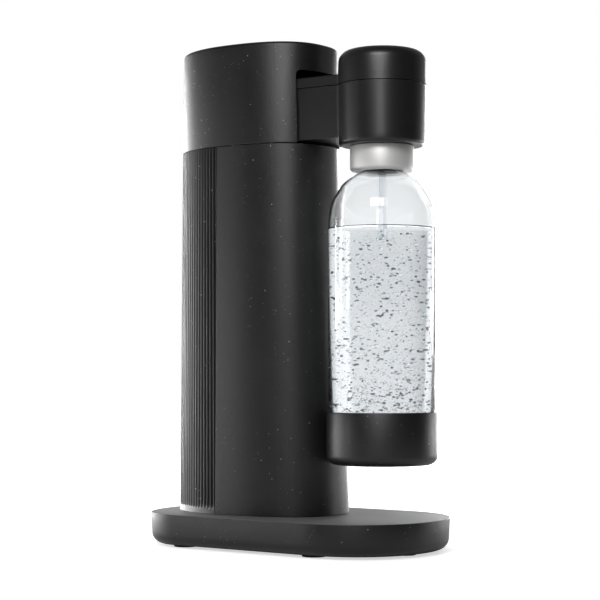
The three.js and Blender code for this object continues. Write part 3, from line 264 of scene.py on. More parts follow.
def compositeFinish(name, paintedSheenFrom=None):
    # the second argument: the height above which the piece gets a painted sheen, a paler colour
    # that stands in for the light falling on its top, and is duller
    finish = Finish(name)
    place = finish.place()
    cloud = finish.noise(place, *composite["cloud"])
    patch = finish.noise(place, *composite["patch"])
    fine = finish.noise(place, *composite["fine"])
    tone = finish.mix(cloud, composite["dark"], composite["light"])
    share = fine.ramp(composite["grainFrom"], composite["grainGain"]) * composite["grainShare"]
    tone = finish.mix(share, tone, composite["grain"])
    for scale, least in composite["specks"]:
        cell = {"Vector": place, "Scale": scale, "Randomness": 1}
        near = finish.node("ShaderNodeTexVoronoi", {"feature": "F1"}, cell, "Distance")
        pick = finish.node("ShaderNodeTexVoronoi", {"feature": "F1"}, cell, "Color")
        pick = finish.node("ShaderNodeSeparateColor", {}, {"Color": pick}, "Red")
        size = (pick - least - (0.5 - patch) * composite["patchiness"]) * composite["speckSize"]
        share = ((size - near) * composite["speckGain"]).clipped() * composite["speckShare"]
        tone = finish.mix(share, tone, composite["speck"])
    roughness = cloud * composite["cloudRoughness"] + fine * composite["fineRoughness"]
    roughness = roughness + composite["roughness"]
    # painted sheen: above the given height the tone turns paler, standing in for light on the top,
    # and the surface turns rougher
    if paintedSheenFrom:
        height = finish.node("ShaderNodeSeparateXYZ", {}, {"Vector": place}, "Z")
        share = height.ramp(paintedSheenFrom, composite["paintedSheenGain"])
        tone = finish.mix(share, tone, composite["pale"])
        roughness = roughness + share * composite["paintedSheenRoughness"]
    finish.set(Base_Color=tone, Roughness=roughness, Normal=finish.bump(fine, composite["bump"]))
    return finish.material


plastic = {"cloud": (40, 2), "fine": (1400, 2), "fineRoughness": 0.1, "bump": 0.00002}
metal = {"cloud": (30, 2), "fine": (900, 3), "fineRoughness": 0.14, "bump": 0.000008}
clear = {"cloud": (35, 2), "cloudShare": 0.3}
gas = {
    "cloud": (160, 1), "darkFrom": 0.46, "darkGain": 10, "roughness": 0.05, "ior": 0.8,
    "light": (0.9, 0.93, 0.95, 1), "dark": (0.2, 0.24, 0.26, 1),
}


def solidFinish(name, look, dark, light, roughness, metallic=0):
    finish = Finish(name)
    place = finish.place()
    cloud = finish.noise(place, *look["cloud"])
    fine = finish.noise(place, *look["fine"])
    finish.set(Base_Color=finish.mix(cloud, dark, light), Metallic=metallic)
    finish.set(Roughness=fine * look["fineRoughness"] + roughness)
    finish.set(Normal=finish.bump(fine, look["bump"]))
    return finish.material


def clearFinish(name, tint, roughness, ior):
    finish = Finish(name)
    share = finish.noise(finish.place(), *clear["cloud"]) * clear["cloudShare"]
    finish.set(Base_Color=finish.mix(share, tint, white), Roughness=roughness, IOR=ior)
    finish.set(Transmission_Weight=1)
    return finish.material


def gasFinish(name):
    # silvery beads, some clear and some dark
    finish = Finish(name)
    share = finish.noise(finish.place(), *gas["cloud"]).ramp(gas["darkFrom"], gas["darkGain"])
    finish.set(Base_Color=finish.mix(share, gas["light"], gas["dark"]), Metallic=share)
    finish.set(Roughness=gas["roughness"], IOR=gas["ior"], Transmission_Weight=1)
    return finish.material


finishes = {
    "composite": compositeFinish("composite"),
    "black_plastic": solidFinish("black plastic", plastic,
                                 (0.008, 0.008, 0.0083, 1), (0.012, 0.012, 0.0124, 1), 0.3),
    "grey_plastic": solidFinish("grey plastic", plastic,
                                (0.2, 0.21, 0.22, 1), (0.26, 0.27, 0.28, 1), 0.4),
    "rubber": solidFinish("rubber", plastic,
                          (0.01, 0.01, 0.01, 1), (0.016, 0.016, 0.016, 1), 0.75),
    "silver": solidFinish("silver", metal,
                          (0.62, 0.615, 0.61, 1), (0.7, 0.695, 0.69, 1), 0.42, 0.45),
    "steel": solidFinish("steel", metal, (0.42, 0.43, 0.44, 1), (0.52, 0.53, 0.54, 1), 0.3, 1),
    "zinc_sheet": solidFinish("zinc sheet", metal,
                              (0.4, 0.42, 0.43, 1), (0.6, 0.62, 0.62, 1), 0.38, 1),
    "brass": solidFinish("brass", metal, (0.45, 0.29, 0.08, 1), (0.55, 0.37, 0.12, 1), 0.3, 1),
    "clear_bottle": clearFinish("clear plastic", (0.96, 0.975, 0.985, 1), 0.06, 1.45),
    "hose": solidFinish("pale hose", plastic, (0.6, 0.62, 0.6, 1), (0.7, 0.72, 0.7, 1), 0.4),
    "water": clearFinish("water", (0.78, 0.8, 0.815, 1), 0, 1.33),
    "bubbles": gasFinish("bubbles"),
    "tube": clearFinish("tube", (0.86, 0.88, 0.9, 1), 0.25, 1.08),
}

for row in frame["record"]["subparts"]:
    node = frame["nodes"][row["node"]]
    node.data.materials.clear()
    node.data.materials.append(finishes[row["material_slot"]])
print("finishes made")

making = {
    "mergeWithin": 0.002, "smoothAngle": 35,
    "bevelAngle": 40, "bevelSteps": 2,
    "roundStepsPerMm": 2, "fewestRoundSteps": 2, "mostRoundSteps": 8, "onAxis": 0.0001,
    "ovalSteps": 720,
}


def smoothed(data, angle):
    data.shade_smooth()
    data.set_sharp_from_angle(angle=math.radians(angle))


def finishPiece(name, bm, body, slotName, nodes=(), finish=None,
                smoothAngle=making["smoothAngle"]):
    # makes the piece's object, gives it its finish, hides the parts it stands for, and hangs it on
    # the body it rides on
    bmesh.ops.remove_doubles(bm, verts=bm.verts[:], dist=making["mergeWithin"] * mm)
    bmesh.ops.recalc_face_normals(bm, faces=bm.faces[:])
    data = bpy.data.meshes.new(name)
    bm.to_mesh(data)
    bm.free()
    piece = bpy.data.objects.new(name, data)
    bpy.context.scene.collection.objects.link(piece)
    smoothed(data, smoothAngle)
    data.materials.append(finish or finishes[slotName])
    if nodes:
        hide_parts(*nodes)
    if body:
        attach(piece, body)
    return piece


bottleY = -83.6  # the upright axis that head, collar and bottle share


def spun(bm, corners, steps):
    # turns a profile of (radius, height, rounding) corners about the bottle's axis
    turn = bmesh.new()
    points = [turn.verts.new((corner[0] * mm, bottleY * mm, corner[1] * mm)) for corner in corners]
    turn.faces.new(points)
    for point, corner in zip(points, corners):
        if len(corner) > 2:
            wanted = round(corner[2] * making["roundStepsPerMm"])
            segments = max(making["fewestRoundSteps"], min(making["mostRoundSteps"], wanted))
            bmesh.ops.bevel(turn, geom=[point], offset=corner[2] * mm, offset_type="OFFSET",
                            affect="VERTICES", segments=segments, profile=0.5, material=-1)
    bmesh.ops.delete(turn, geom=turn.faces[:], context="FACES_ONLY")
    onAxis = [edge for edge in turn.edges
              if all(abs(vert.co.x) < making["onAxis"] * mm for vert in edge.verts)]
    bmesh.ops.delete(turn, geom=onAxis, context="EDGES")
    bmesh.ops.spin(turn, geom=turn.verts[:] + turn.edges[:], cent=(0, bottleY * mm, 0),
                   axis=(0, 0, 1), dvec=(0, 0, 0), angle=2 * math.pi, steps=steps,
                   use_merge=True, use_duplicate=False)
    data = bpy.data.meshes.new("turned")
    turn.to_mesh(data)
    turn.free()
    bm.from_mesh(data)
    bpy.data.meshes.remove(data)


def turnedPiece(name, corners, body, slotName, nodes, steps, finish=None):
    bm = bmesh.new()
    spun(bm, corners, steps)
    return finishPiece(name, bm, body, slotName, nodes, finish)


def ringOf(bm, points):
    # a closed loop of edges through points, given in millimetres
    verts = bmesh.ops.create_circle(bm, cap_ends=False, radius=1, segments=len(points))["verts"]
    order = sorted(verts, key=lambda vert: math.atan2(vert.co.y, vert.co.x) % (2 * math.pi))
    for vert, point in zip(order, points):
        vert.co = Vector(point) * mm
    return list({edge for vert in verts for edge in vert.link_edges})


def lofted(bm, levels, capFirst=True, capLast=True):
    # a skin through closed rings of points, one after the other
    rings = [ringOf(bm, points) for points in levels]
    for lower, upper in zip(rings, rings[1:]):
        bmesh.ops.bridge_loops(bm, edges=lower + upper)
    if capFirst:
        bmesh.ops.contextual_create(bm, geom=rings[0])
    if capLast:
        bmesh.ops.contextual_create(bm, geom=rings[-1])


def power(value, exponent):
    return math.copysign(abs(value) ** exponent, value)


def oval(size, count):
    # two half ovals with straight sides between, evenly spaced, from the left over the front
    fine = []
    for way, end in ((-1, "front"), (1, "rear")):
        bulge = 2 / size[end + "Power"]
        for i in range(making["ovalSteps"] + 1):
            angle = math.pi * i / making["ovalSteps"]
            fine.append((way * size["halfWidth"] * power(math.cos(angle), bulge),
                         size[end + "Centre"]
                         + way * size[end + "Depth"] * power(math.sin(angle), bulge)))
    return evenly(fine + fine[:1], count)


def evenly(points, count):
    # count points at equal steps along an open run of points, without the last one
    lengths = [0]
    for a, b in zip(points, points[1:]):
        lengths.append(lengths[-1] + math.dist(a, b))
    out = []
    j = 0
    for i in range(count):
        want = lengths[-1] * i / count
        while lengths[j + 1] < want:
            j += 1
        share = (want - lengths[j]) / (lengths[j + 1] - lengths[j])
        out.append(tuple(a + (b - a) * share for a, b in zip(points[j], points[j + 1])))
    return out


def insetBy(points, distance):
    # the same closed run of points, moved inwards
    out = []
    for i, (x, y) in enumerate(points):
        before, after = points[i - 1], points[(i + 1) % len(points)]
        dx, dy = after[0] - before[0], after[1] - before[1]
        length = math.hypot(dx, dy)
        out.append((x - dy / length * distance, y + dx / length * distance))
    return out


def quarter(radius, steps):
    # inset and rise of a rounding, from a level face to an upright one
    angles = [math.pi / 2 * i / steps for i in range(steps + 1)]
    return [(radius * (1 - math.sin(angle)), radius * (1 - math.cos(angle))) for angle in angles]


def atHeight(points, z):
    return [(x, y, z) for x, y in points]


def everything(bm):
    return bm.faces[:] + bm.edges[:] + bm.verts[:]


def keepSide(bm, y, front):
    bmesh.ops.bisect_plane(bm, geom=everything(bm), plane_co=(0, y * mm, 0), plane_no=(0, 1, 0),
                           clear_outer=front, clear_inner=not front)


def walled(bm, thickness):
    bmesh.ops.recalc_face_normals(bm, faces=bm.faces[:])
    bmesh.ops.solidify(bm, geom=bm.faces[:], thickness=thickness * mm)


def withBevel(piece, width, segments=making["bevelSteps"]):
    bevel = piece.modifiers.new("edges", "BEVEL")
    bevel.width = width * mm
    bevel.segments = segments
    bevel.limit_method = "ANGLE"
    bevel.angle_limit = math.radians(making["bevelAngle"])
    return piece


def cutAway(piece, cutter):
    # takes the cutter's shape out of the piece for good
    cutting = piece.modifiers.new("cut", "BOOLEAN")
    cutting.operation = "DIFFERENCE"
    cutting.solver = "EXACT"
    cutting.object = cutter
    bpy.context.view_layer.update()
    cut = piece.evaluated_get(bpy.context.evaluated_depsgraph_get())
    done = bpy.data.meshes.new_from_object(cut)
    piece.modifiers.clear()
    old = piece.data
    piece.data = done
    bpy.data.meshes.remove(old)
    bpy.data.objects.remove(cutter)


base = {
    "halfWidth": 77, "length": 265, "top": 28.5, "underside": 2, "plateTop": 5.1,
    "frontDepth": 76, "rearDepth": 56, "power": 2.2, "steps": 220,
    "lowerRound": 9.5, "lowerSteps": 7, "upperRound": 0.8, "upperSteps": 3,
    # the band at the base's top that gets a painted sheen is given on the next line
    "draft": 0.9, "lip": 1.5, "smoothAngle": 25, "paintedSheenBand": 0.5,
    "grooveStart": -8, "grooveRamp": 0.8, "groovePitch": 3, "grooveDepth": 0.12,
    "grooveShare": 0.28,  # half of a groove's width, as a share of the pitch
    "topBand": 1.5, "sunkBand": 1.2, "spare": 0.1, "onLine": 0.02,
}

baseOval = oval({
    "halfWidth": base["halfWidth"],
    "frontCentre": base["frontDepth"] - base["length"] / 2, "frontDepth": base["frontDepth"],
    "rearCentre": base["length"] / 2 - base["rearDepth"], "rearDepth": base["rearDepth"],
    "frontPower": base["power"], "rearPower": base["power"],
}, base["steps"])


def groovePlate(bm):
    # cuts three lines for each groove into the front of the top, and sinks the middle one
    top, start = base["top"] * mm, base["grooveStart"] * mm
    pitch = base["groovePitch"]
    for y in (start, start - base["grooveRamp"] * mm):
        bmesh.ops.bisect_plane(bm, geom=everything(bm), plane_co=(0, y, 0), plane_no=(0, 1, 0))
    count = int(base["halfWidth"] / pitch)
    for i in range(-count, count + 1):
        for share in (-base["grooveShare"], 0, base["grooveShare"]):
            upper = [face for face in bm.faces
                     if min(vert.co.z for vert in face.verts) > top - base["topBand"] * mm
                     and min(vert.co.y for vert in face.verts) < start]
            geom = {part for face in upper for part in [face] + face.edges[:] + face.verts[:]}
            bmesh.ops.bisect_plane(bm, geom=list(geom), plane_no=(1, 0, 0),
                                   plane_co=((i + share) * pitch * mm, 0, 0))
    grooved = start - (base["grooveRamp"] - base["spare"]) * mm
    for vert in bm.verts:
        if vert.co.z > top - base["sunkBand"] * mm and vert.co.y < grooved:
            line = vert.co.x / mm / pitch
            if abs(line - round(line)) < base["onLine"]:
                vert.co.z -= base["grooveDepth"] * mm


def makeBase():
    bm = bmesh.new()
    inner = insetBy(baseOval, base["lowerRound"] + base["draft"] + base["lip"])
    levels = [atHeight(inner, base["plateTop"]), atHeight(inner, base["underside"])]
    for out, up in quarter(base["lowerRound"], base["lowerSteps"]):
        levels.append(atHeight(insetBy(baseOval, out + base["draft"]), base["underside"] + up))
    for out, up in reversed(quarter(base["upperRound"], base["upperSteps"])):
        levels.append(atHeight(insetBy(baseOval, out), base["top"] - up))
    lofted(bm, levels)
    groovePlate(bm)
    # the base's top band gets a painted sheen: paler, standing in for the light falling on its
    # grooves
    finish = compositeFinish("ribbed composite", (base["top"] - base["paintedSheenBand"]) * mm)
    return finishPiece("basePlate", bm, "stand", "composite", ["base_shell"], finish,
                       base["smoothAngle"])


makeBase()
print("base made")

tower = {
    "halfWidth": 52.2, "centreY": 45, "frontReach": 83.4, "rearReach": 75.7, "frontPower": 2.5,
    "rearPower": 2, "steps": 260, "foot": 28.8, "top": 336.5, "wall": 3, "edge": 0.3,
    "draft": 2.5, "frontLean": 10.6, "splitY": 50,
}


def towerOval(share, grown=0, count=tower["steps"]):
    # the tower's plan, at a share of its height
    draft = tower["draft"] * share - grown
    return oval({
        "halfWidth": tower["halfWidth"] - draft,
        "frontCentre": tower["centreY"], "rearCentre": tower["centreY"],
        "frontDepth": tower["frontReach"] - tower["frontLean"] * share + grown,
        "rearDepth": tower["rearReach"] - draft,
        "frontPower": tower["frontPower"], "rearPower": tower["rearPower"],
    }, count)


def makeTower():
    bm = bmesh.new()
    levels = [atHeight(towerOval(0), tower["foot"]), atHeight(towerOval(1), tower["top"])]
    lofted(bm, levels, False, False)
    keepSide(bm, tower["splitY"], True)
    walled(bm, tower["wall"])
    piece = finishPiece("towerFront", bm, "stand", "composite", ["tower_shell"])
    return withBevel(piece, tower["edge"])


cover = {
    "startY": 50.4, "wall": 2.4, "smoothAngle": 50,
    "pitch": 4, "depth": 1.8, "pointsPerRib": 10, "shift": 7, "crest": 0.8, "flank": 0.45,
    "bandHeight": 4.7, "bandProud": 0.3, "bandEnd": 3, "bandMiddle": 1.5, "middleShare": 0.45,
    "ledge": 1.2, "ledgeShare": 0.7, "ledgeEnd": 3,  # where the ribs start above the band
}


def ribbed(points, depth):
    # sinks the points between the crests of the ribs
    count = cover["pointsPerRib"]
    out = []
    for i, (plain, sunk) in enumerate(zip(points, insetBy(points, depth))):
        phase = abs(((i + cover["shift"]) % count) / count - 0.5) * 2
        share = min(max((cover["crest"] - phase) / cover["flank"], 0), 1)
        share = share * share * (3 - 2 * share)
        out.append(tuple(a + (b - a) * share for a, b in zip(plain, sunk)))
    return out


def makeCover():
    foot, height = tower["foot"], tower["top"] - tower["foot"]
    lower = towerOval(cover["bandHeight"] / height)
    perimeter = sum(math.dist(a, b) for a, b in zip(lower, lower[1:] + lower[:1]))
    count = round(perimeter / cover["pitch"]) * cover["pointsPerRib"]
    band, proud, depth = cover["bandHeight"], cover["bandProud"], cover["depth"]
    rows = [  # height above the foot, how far the band stands out, depth of the ribs
        (0, proud, 0), (cover["bandMiddle"], proud * cover["middleShare"], 0),
        (cover["bandEnd"], 0, 0), (band, 0, 0),
        (band + cover["ledge"], 0, depth * cover["ledgeShare"]),
        (band + cover["ledgeEnd"], 0, depth), (height, 0, depth),
    ]
    bm = bmesh.new()
    lofted(bm, [atHeight(ribbed(towerOval(z / height, grown, count), sunk), foot + z)
                for z, grown, sunk in rows], False, False)
    keepSide(bm, cover["startY"], False)
    walled(bm, cover["wall"])
    return finishPiece("ribbedCover", bm, "cover", "composite", ["rear_cover"],
                       smoothAngle=cover["smoothAngle"])


hood = {
    "gap": 0.6, "height": 84, "slope": 0.008, "wall": 3, "edge": 0.5, "edgeSteps": 3,
    "proud": 0.5, "draft": 1.6, "footInset": 0.6, "footHeight": 0.7,
    "edgeRound": 3, "roundSteps": 7,
    "slotHalfWidth": 29.8, "slotHeight": 60.7, "slotRound": 4, "slotRoundSteps": 6,
    "slotFront": -150, "slotRear": -8, "slotBelow": 5,
}


def slotCutter(foot):
    # a block with two rounded edges, open towards the front and below
    bm = bmesh.new()
    half, top, low = hood["slotHalfWidth"], foot + hood["slotHeight"], foot - hood["slotBelow"]
    corners = [bm.verts.new((x * mm, hood["slotFront"] * mm, z * mm))
               for x, z in ((-half, low), (half, low), (half, top), (-half, top))]
    bm.faces.new(corners)
    bmesh.ops.bevel(bm, geom=corners[2:], offset=hood["slotRound"] * mm, offset_type="OFFSET",
                    affect="VERTICES", segments=hood["slotRoundSteps"], profile=0.5, material=-1)
    run = bmesh.ops.extrude_face_region(bm, geom=bm.faces[:])
    moved = [part for part in run["geom"] if isinstance(part, bmesh.types.BMVert)]
    length = (hood["slotRear"] - hood["slotFront"]) * mm
    bmesh.ops.translate(bm, verts=moved, vec=(0, length, 0))
    bmesh.ops.recalc_face_normals(bm, faces=bm.faces[:])
    data = bpy.data.meshes.new("slot")
    bm.to_mesh(data)
    bm.free()
    cutter = bpy.data.objects.new("slot", data)
    bpy.context.scene.collection.objects.link(cutter)
    return cutter


def makeHood():
    foot = tower["top"] + hood["gap"]
    top, front = foot + hood["height"], tower["centreY"] - tower["frontReach"]
    lower = towerOval(1, hood["proud"])
    upper = towerOval(1, hood["proud"] - hood["draft"])
    levels = [atHeight(insetBy(lower, hood["footInset"]), foot),
              atHeight(lower, foot + hood["footHeight"])]
    for out, up in reversed(quarter(hood["edgeRound"], hood["roundSteps"])):
        levels.append([(x, y, top + hood["slope"] * (y - front) - up)
                       for x, y in insetBy(upper, out)])
    bm = bmesh.new()
    lofted(bm, levels, False, True)
    walled(bm, hood["wall"])
    piece = finishPiece("hood", bm, None, "composite", ["hood"])
    cutAway(piece, slotCutter(foot))
    smoothed(piece.data, making["smoothAngle"])
    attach(piece, "stand")
    return withBevel(piece, hood["edge"], hood["edgeSteps"])


makeTower()
makeCover()
makeHood()
print("tower made")

arm = {
    "halfWidth": 26, "foot": 339, "top": 381.4, "rear": 3, "wall": 2.7, "floor": 0.8, "edge": 0.3,
    "fillet": 8, "filletSteps": 8, "barrel": 11, "barrelSteps": 12, "barrelWall": 1,
    "flare": 2.2, "flareY": -21, "flareLength": 3, "near": 0.1,
}
head = {
    "radius": 36, "footRadius": 35.4, "foot": 332.3, "edgeRound": 3, "boreRadius": 22.9,
    "planSteps": 72, "steps": 144, "overlap": 0.01,
}


def keyhole(radius, halfWidth, rear):
    # plan of a round head with a straight arm behind it, joined by a fillet on each side
    fillet, flare, flareY = arm["fillet"], arm["flare"], arm["flareY"]
    reach, side = radius + fillet, halfWidth + fillet
    along = math.sqrt(reach ** 2 - side ** 2)
    endAngle = math.pi - math.asin(side / reach)
    right = [(0, bottleY - radius)]
    for i in range(1, head["planSteps"] + 1):
        angle = endAngle * i / head["planSteps"]
        right.append((radius * math.sin(angle), bottleY - radius * math.cos(angle)))
    slant = math.atan2(along, side)
    for i in range(1, arm["filletSteps"] + 1):
        angle = math.pi + slant * (1 - i / arm["filletSteps"])
        right.append((side + fillet * math.cos(angle),
                      bottleY + along + fillet * math.sin(angle)))
    right += [(halfWidth + flare, flareY), (halfWidth + flare, flareY + arm["flareLength"]),
              (halfWidth, flareY + 2 * arm["flareLength"]), (halfWidth, rear)]
    return right + [(-x, y) for x, y in reversed(right[1:])]


def radiusAt(z):
    share = (z - head["foot"]) / (arm["top"] - head["foot"])
    return head["footRadius"] + (head["radius"] - head["footRadius"]) * share


def makeHousing():
    low, high = arm["foot"], arm["top"]
    footRadius, topRadius, rear = radiusAt(low), radiusAt(high), arm["rear"]
    inside = keyhole(topRadius - arm["wall"], arm["halfWidth"] - arm["wall"],
                     rear - arm["barrel"] - arm["barrelWall"])
    bm = bmesh.new()
    lofted(bm, [atHeight(keyhole(footRadius, arm["halfWidth"], rear), low),
                atHeight(keyhole(topRadius, arm["halfWidth"], rear), high),
                atHeight(inside, high), atHeight(inside, low + arm["floor"])])
    y, z = (rear - arm["near"]) * mm, (low + arm["near"]) * mm
    corner = [edge for edge in bm.edges
              if all(vert.co.y > y and vert.co.z < z for vert in edge.verts)]
    bmesh.ops.bevel(bm, geom=corner, offset=arm["barrel"] * mm, offset_type="OFFSET",
                    affect="EDGES", segments=arm["barrelSteps"], profile=0.5, material=-1,
                    clamp_overlap=False)
    low += head["overlap"]
    spun(bm, [(head["boreRadius"], low), (head["boreRadius"], head["foot"]),
              (head["footRadius"], head["foot"], head["edgeRound"]), (footRadius, low)],
         head["steps"])
    piece = finishPiece("headHousing", bm, "head", "composite", ["head_housing"],
                        finishes["black_plastic"])
    return withBevel(piece, arm["edge"])


button = {
    "foot": 381.9, "wide": 0.4, "armTop": 390.3, "armEdge": 0.8, "edgeShare": 0.3,
    "shoulderBand": 0.4, "rimTop": 409.6, "top": 410.3, "crown": 0.15, "round": 9,
    "narrowing": 0.9, "lip": 0.22, "lipHeight": 3,
}


def makeButton():
    domeRadius = head["radius"] + button["wide"]
    rimRadius = domeRadius - button["narrowing"]
    foot, edge = button["foot"], button["armEdge"]
    shoulder = button["armTop"] - edge
    lean = button["narrowing"] * (shoulder - foot) / (button["rimTop"] - foot)
    halfWidth, rear = arm["halfWidth"] + button["wide"], arm["rear"] + button["wide"]
    lower = keyhole(domeRadius, halfWidth, rear)
    upper = keyhole(domeRadius - lean, halfWidth, rear)
    around = insetBy(lower, button["lip"])
    share = button["edgeShare"]
    bm = bmesh.new()
    lofted(bm, [
        atHeight(around, foot + button["lipHeight"]), atHeight(around, foot),
        atHeight(lower, foot), atHeight(upper, shoulder - button["shoulderBand"]),
        atHeight(upper, shoulder),
        atHeight(insetBy(upper, edge * share), shoulder + edge * (1 - share)),
        atHeight(insetBy(upper, edge), button["armTop"]),
    ])
    spun(bm, [
        (0, shoulder), (domeRadius - lean, shoulder),
        (rimRadius, button["rimTop"], button["round"]),
        ((rimRadius - button["round"]) / 2, button["top"] - button["crown"]), (0, button["top"]),
    ], head["steps"])
    return finishPiece("buttonLever", bm, "button", "black_plastic", ["button_lever"])


makeHousing()
makeButton()
print("head made")

bottle = {
    "foot": 76, "top": 331, "radius": 44, "footRadius": 43.2, "wall": 1.3, "steps": 128,
    "footRound": 14, "footHeight": 40, "footStep": 1.3, "footBlend": 2.6,
    "neckRadius": 15.2, "bore": 12.5, "lipRound": 0.6, "boreFoot": 0.3,
    "bead": 17.2, "beadFoot": 313, "beadTop": 318, "beadRound": 0.8,
    "collarRadius": 15.9, "collarStep": 0.6,
    "shoulderFoot": 263.8, "shoulderTop": 311.2, "shoulderRadius": 18.1,
    "shoulderSteps": 4, "shoulderDrop": 0.6, "shoulderEnd": 1.2,
    # the shoulder's course: share of the way out, and share of its height
    "shoulder": ((1, 0), (0.985, 0.171), (0.954, 0.344), (0.865, 0.517), (0.668, 0.688),
                 (0.568, 0.774), (0.398, 0.861), (0.205, 0.93), (0.093, 0.964), (0, 1)),
}


def shoulderLine(inward):
    # the bottle's shoulder as a smooth run of (radius, height) points
    span = bottle["radius"] - bottle["shoulderRadius"]
    rise = bottle["shoulderTop"] - bottle["shoulderFoot"]
    knots = [(bottle["shoulderRadius"] + span * out, bottle["shoulderFoot"] + rise * up)
             for out, up in bottle["shoulder"]]
    knots = [knots[0]] + knots + [knots[-1]]
    line = []
    for run in zip(knots, knots[1:], knots[2:], knots[3:]):
        for i in range(bottle["shoulderSteps"]):
            t = i / bottle["shoulderSteps"]
            line.append(tuple(0.5 * (2 * q + (r - p) * t + (2 * p - 5 * q + 4 * r - s) * t * t
                                     + (3 * q - p - 3 * r + s) * t ** 3)
                              for p, q, r, s in zip(*run)))
    line.append(knots[-1])
    return [(radius - inward, z - inward * bottle["shoulderDrop"]) for radius, z in line]


def makeBottle():
    foot, wall, footRadius = bottle["foot"], bottle["wall"], bottle["footRadius"]
    footTop, shoulderTop = foot + bottle["footHeight"], bottle["shoulderTop"]
    outer = [(0, foot), (footRadius, foot, bottle["footRound"]), (footRadius, footTop),
             (bottle["radius"], footTop + bottle["footStep"])]
    outer += shoulderLine(0)
    outer += [(bottle["collarRadius"], shoulderTop + bottle["collarStep"]),
              (bottle["collarRadius"], bottle["beadFoot"]),
              (bottle["bead"], bottle["beadFoot"], bottle["beadRound"]),
              (bottle["bead"], bottle["beadTop"], bottle["beadRound"]),
              (bottle["neckRadius"], bottle["beadTop"]),
              (bottle["neckRadius"], bottle["top"], bottle["lipRound"])]
    inner = [(bottle["bore"], bottle["top"], bottle["lipRound"]),
             (bottle["bore"], shoulderTop - bottle["boreFoot"])]
    inner += [(radius, z) for radius, z in reversed(shoulderLine(wall))
              if z < shoulderTop - bottle["shoulderEnd"]]
    inner += [(bottle["radius"] - wall, footTop + bottle["footBlend"]),
              (footRadius - wall, footTop),
              (footRadius - wall, foot + wall, bottle["footRound"] - wall), (0, foot + wall)]
    return turnedPiece("bottleShell", outer + inner, "bottle", "clear_bottle", ["bottle"],
                       bottle["steps"])


water = {  # it laps over the bottle's inner face, and creeps up it at the top
    "top": 264.2, "lap": 0.15, "creep": 0.8, "creepStep": 0.8, "creepFoot": 0.15, "creepWidth": 2.2,
}


def makeWater():
    wall, top = bottle["wall"], water["top"]
    floor, footTop = bottle["foot"] + wall - water["lap"], bottle["foot"] + bottle["footHeight"]
    side = bottle["radius"] - wall + water["lap"]
    low = bottle["footRadius"] - wall + water["lap"]
    profile = [(0, floor), (low, floor, bottle["footRound"] - wall), (low, footTop),
               (side, footTop + bottle["footBlend"]), (side, top + water["creep"]),
               (side - water["creepStep"], top + water["creepFoot"]),
               (side - water["creepWidth"], top), (0, top)]
    return turnedPiece("water", profile, "bottle", "clear_bottle", (), bottle["steps"],
                       finishes["water"])


cup = {
    "foot": 72.3, "radius": 45.3, "wall": 1.7, "top": 115.4, "round": 8, "rimRound": 1.1,
    "floor": 3.4, "heel": 5,
}
bubbles = {
    "seed": 7, "bundles": 75, "beads": 40, "smallest": 0.25, "growth": 0.9, "fewLarge": 4,
    "clearance": 3.5, "outwards": 0.45, "lower": 1.25, "belowCup": 2, "belowTop": 3,
    "shape": (1.2, 1.2, 0.85, 1), "sides": 7, "rings": 4, "smoothAngle": 180,
}


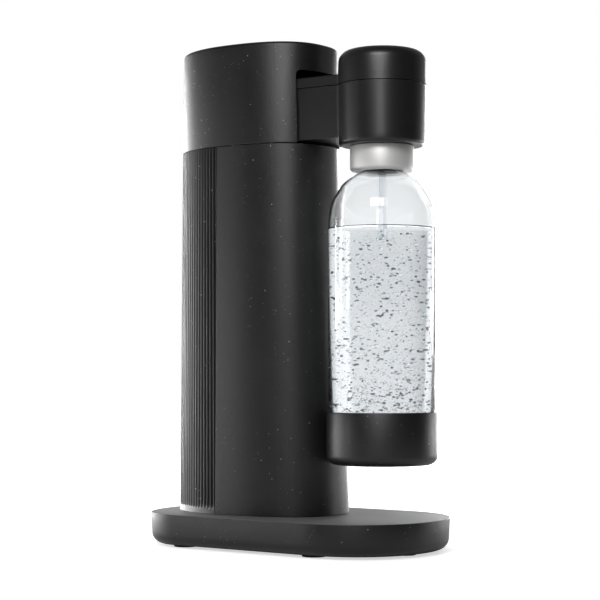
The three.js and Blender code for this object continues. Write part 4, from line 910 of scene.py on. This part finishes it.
def makeBubbles():
    # beads of gas in the water, most of them small, made in bundles because that is much faster
    chance = random.Random(bubbles["seed"])
    inside = bottle["footRadius"] - bottle["wall"] - bubbles["clearance"]
    low, high = cup["top"] - bubbles["belowCup"], water["top"] - bubbles["belowTop"]
    whole = bmesh.new()
    for bundle in range(bubbles["bundles"]):
        bm = bmesh.new()
        for bead in range(bubbles["beads"]):
            size = bubbles["smallest"] + bubbles["growth"] * chance.random() ** bubbles["fewLarge"]
            reach = inside * chance.random() ** bubbles["outwards"]
            turn = 2 * math.pi * chance.random()
            z = low + (high - low) * chance.random() ** bubbles["lower"]
            place = Vector((reach * math.cos(turn), bottleY + reach * math.sin(turn), z))
            shape = Matrix.Translation(place * mm) @ Matrix.Diagonal(bubbles["shape"])
            bmesh.ops.create_uvsphere(bm, u_segments=bubbles["sides"], v_segments=bubbles["rings"],
                                      radius=size * mm, matrix=shape)
        data = bpy.data.meshes.new("bundle")
        bm.to_mesh(data)
        bm.free()
        whole.from_mesh(data)
        bpy.data.meshes.remove(data)
    return finishPiece("bubbles", whole, "bottle", "clear_bottle", (), finishes["bubbles"],
                       bubbles["smoothAngle"])


def makeCup():
    radius, foot, inside = cup["radius"], cup["foot"], cup["radius"] - cup["wall"]
    profile = [(0, foot), (radius, foot, cup["round"]), (radius, cup["top"], cup["rimRound"]),
               (inside, cup["top"]), (inside, foot + cup["round"]),
               (inside - cup["heel"], foot + cup["floor"]), (0, foot + cup["floor"])]
    return turnedPiece("bottleCup", profile, "bottle", "composite", ["bottle_cup"],
                       bottle["steps"])


collar = {
    "top": 332, "foot": 311.7, "radius": 26.2, "mouth": 17.6, "chamfer": 1.6, "footRound": 0.5,
    "edgeRound": 1, "topRound": 0.8, "ringRadius": 22.6, "ringHeight": 8.7, "bore": 20,
    "floor": 8.3,
}


def makeCollar():
    foot, top, radius, floor = collar["foot"], collar["top"], collar["radius"], collar["floor"]
    ringTop, chamfer = top + collar["ringHeight"], collar["chamfer"]
    profile = [(collar["mouth"], foot), (radius - chamfer, foot, collar["footRound"]),
               (radius, foot + chamfer, collar["edgeRound"]), (radius, top, collar["topRound"]),
               (collar["ringRadius"], top), (collar["ringRadius"], ringTop),
               (collar["bore"], ringTop), (collar["bore"], foot + floor),
               (collar["mouth"], foot + floor)]
    return turnedPiece("bottleCollar", profile, "head", "silver", ["bottle_collar"],
                       bottle["steps"])


nozzle = {
    "bore": 2, "radius": 3.1, "upperRadius": 3.5, "foot": 255.2, "step": 295.2, "stepTop": 298.7,
    "top": 335.2, "footRound": 0.3, "steps": 48,
}


def makeNozzle():
    profile = [(nozzle["bore"], nozzle["foot"], nozzle["footRound"]),
               (nozzle["radius"], nozzle["foot"], nozzle["footRound"]),
               (nozzle["radius"], nozzle["step"]), (nozzle["upperRadius"], nozzle["stepTop"]),
               (nozzle["upperRadius"], nozzle["top"]), (nozzle["bore"], nozzle["top"])]
    return turnedPiece("nozzleTube", profile, "head", "grey_plastic", ["nozzle_tube"],
                       nozzle["steps"], finishes["tube"])


makeBottle()
makeWater()
makeBubbles()
makeCup()
makeCollar()
makeNozzle()
print("bottle made")
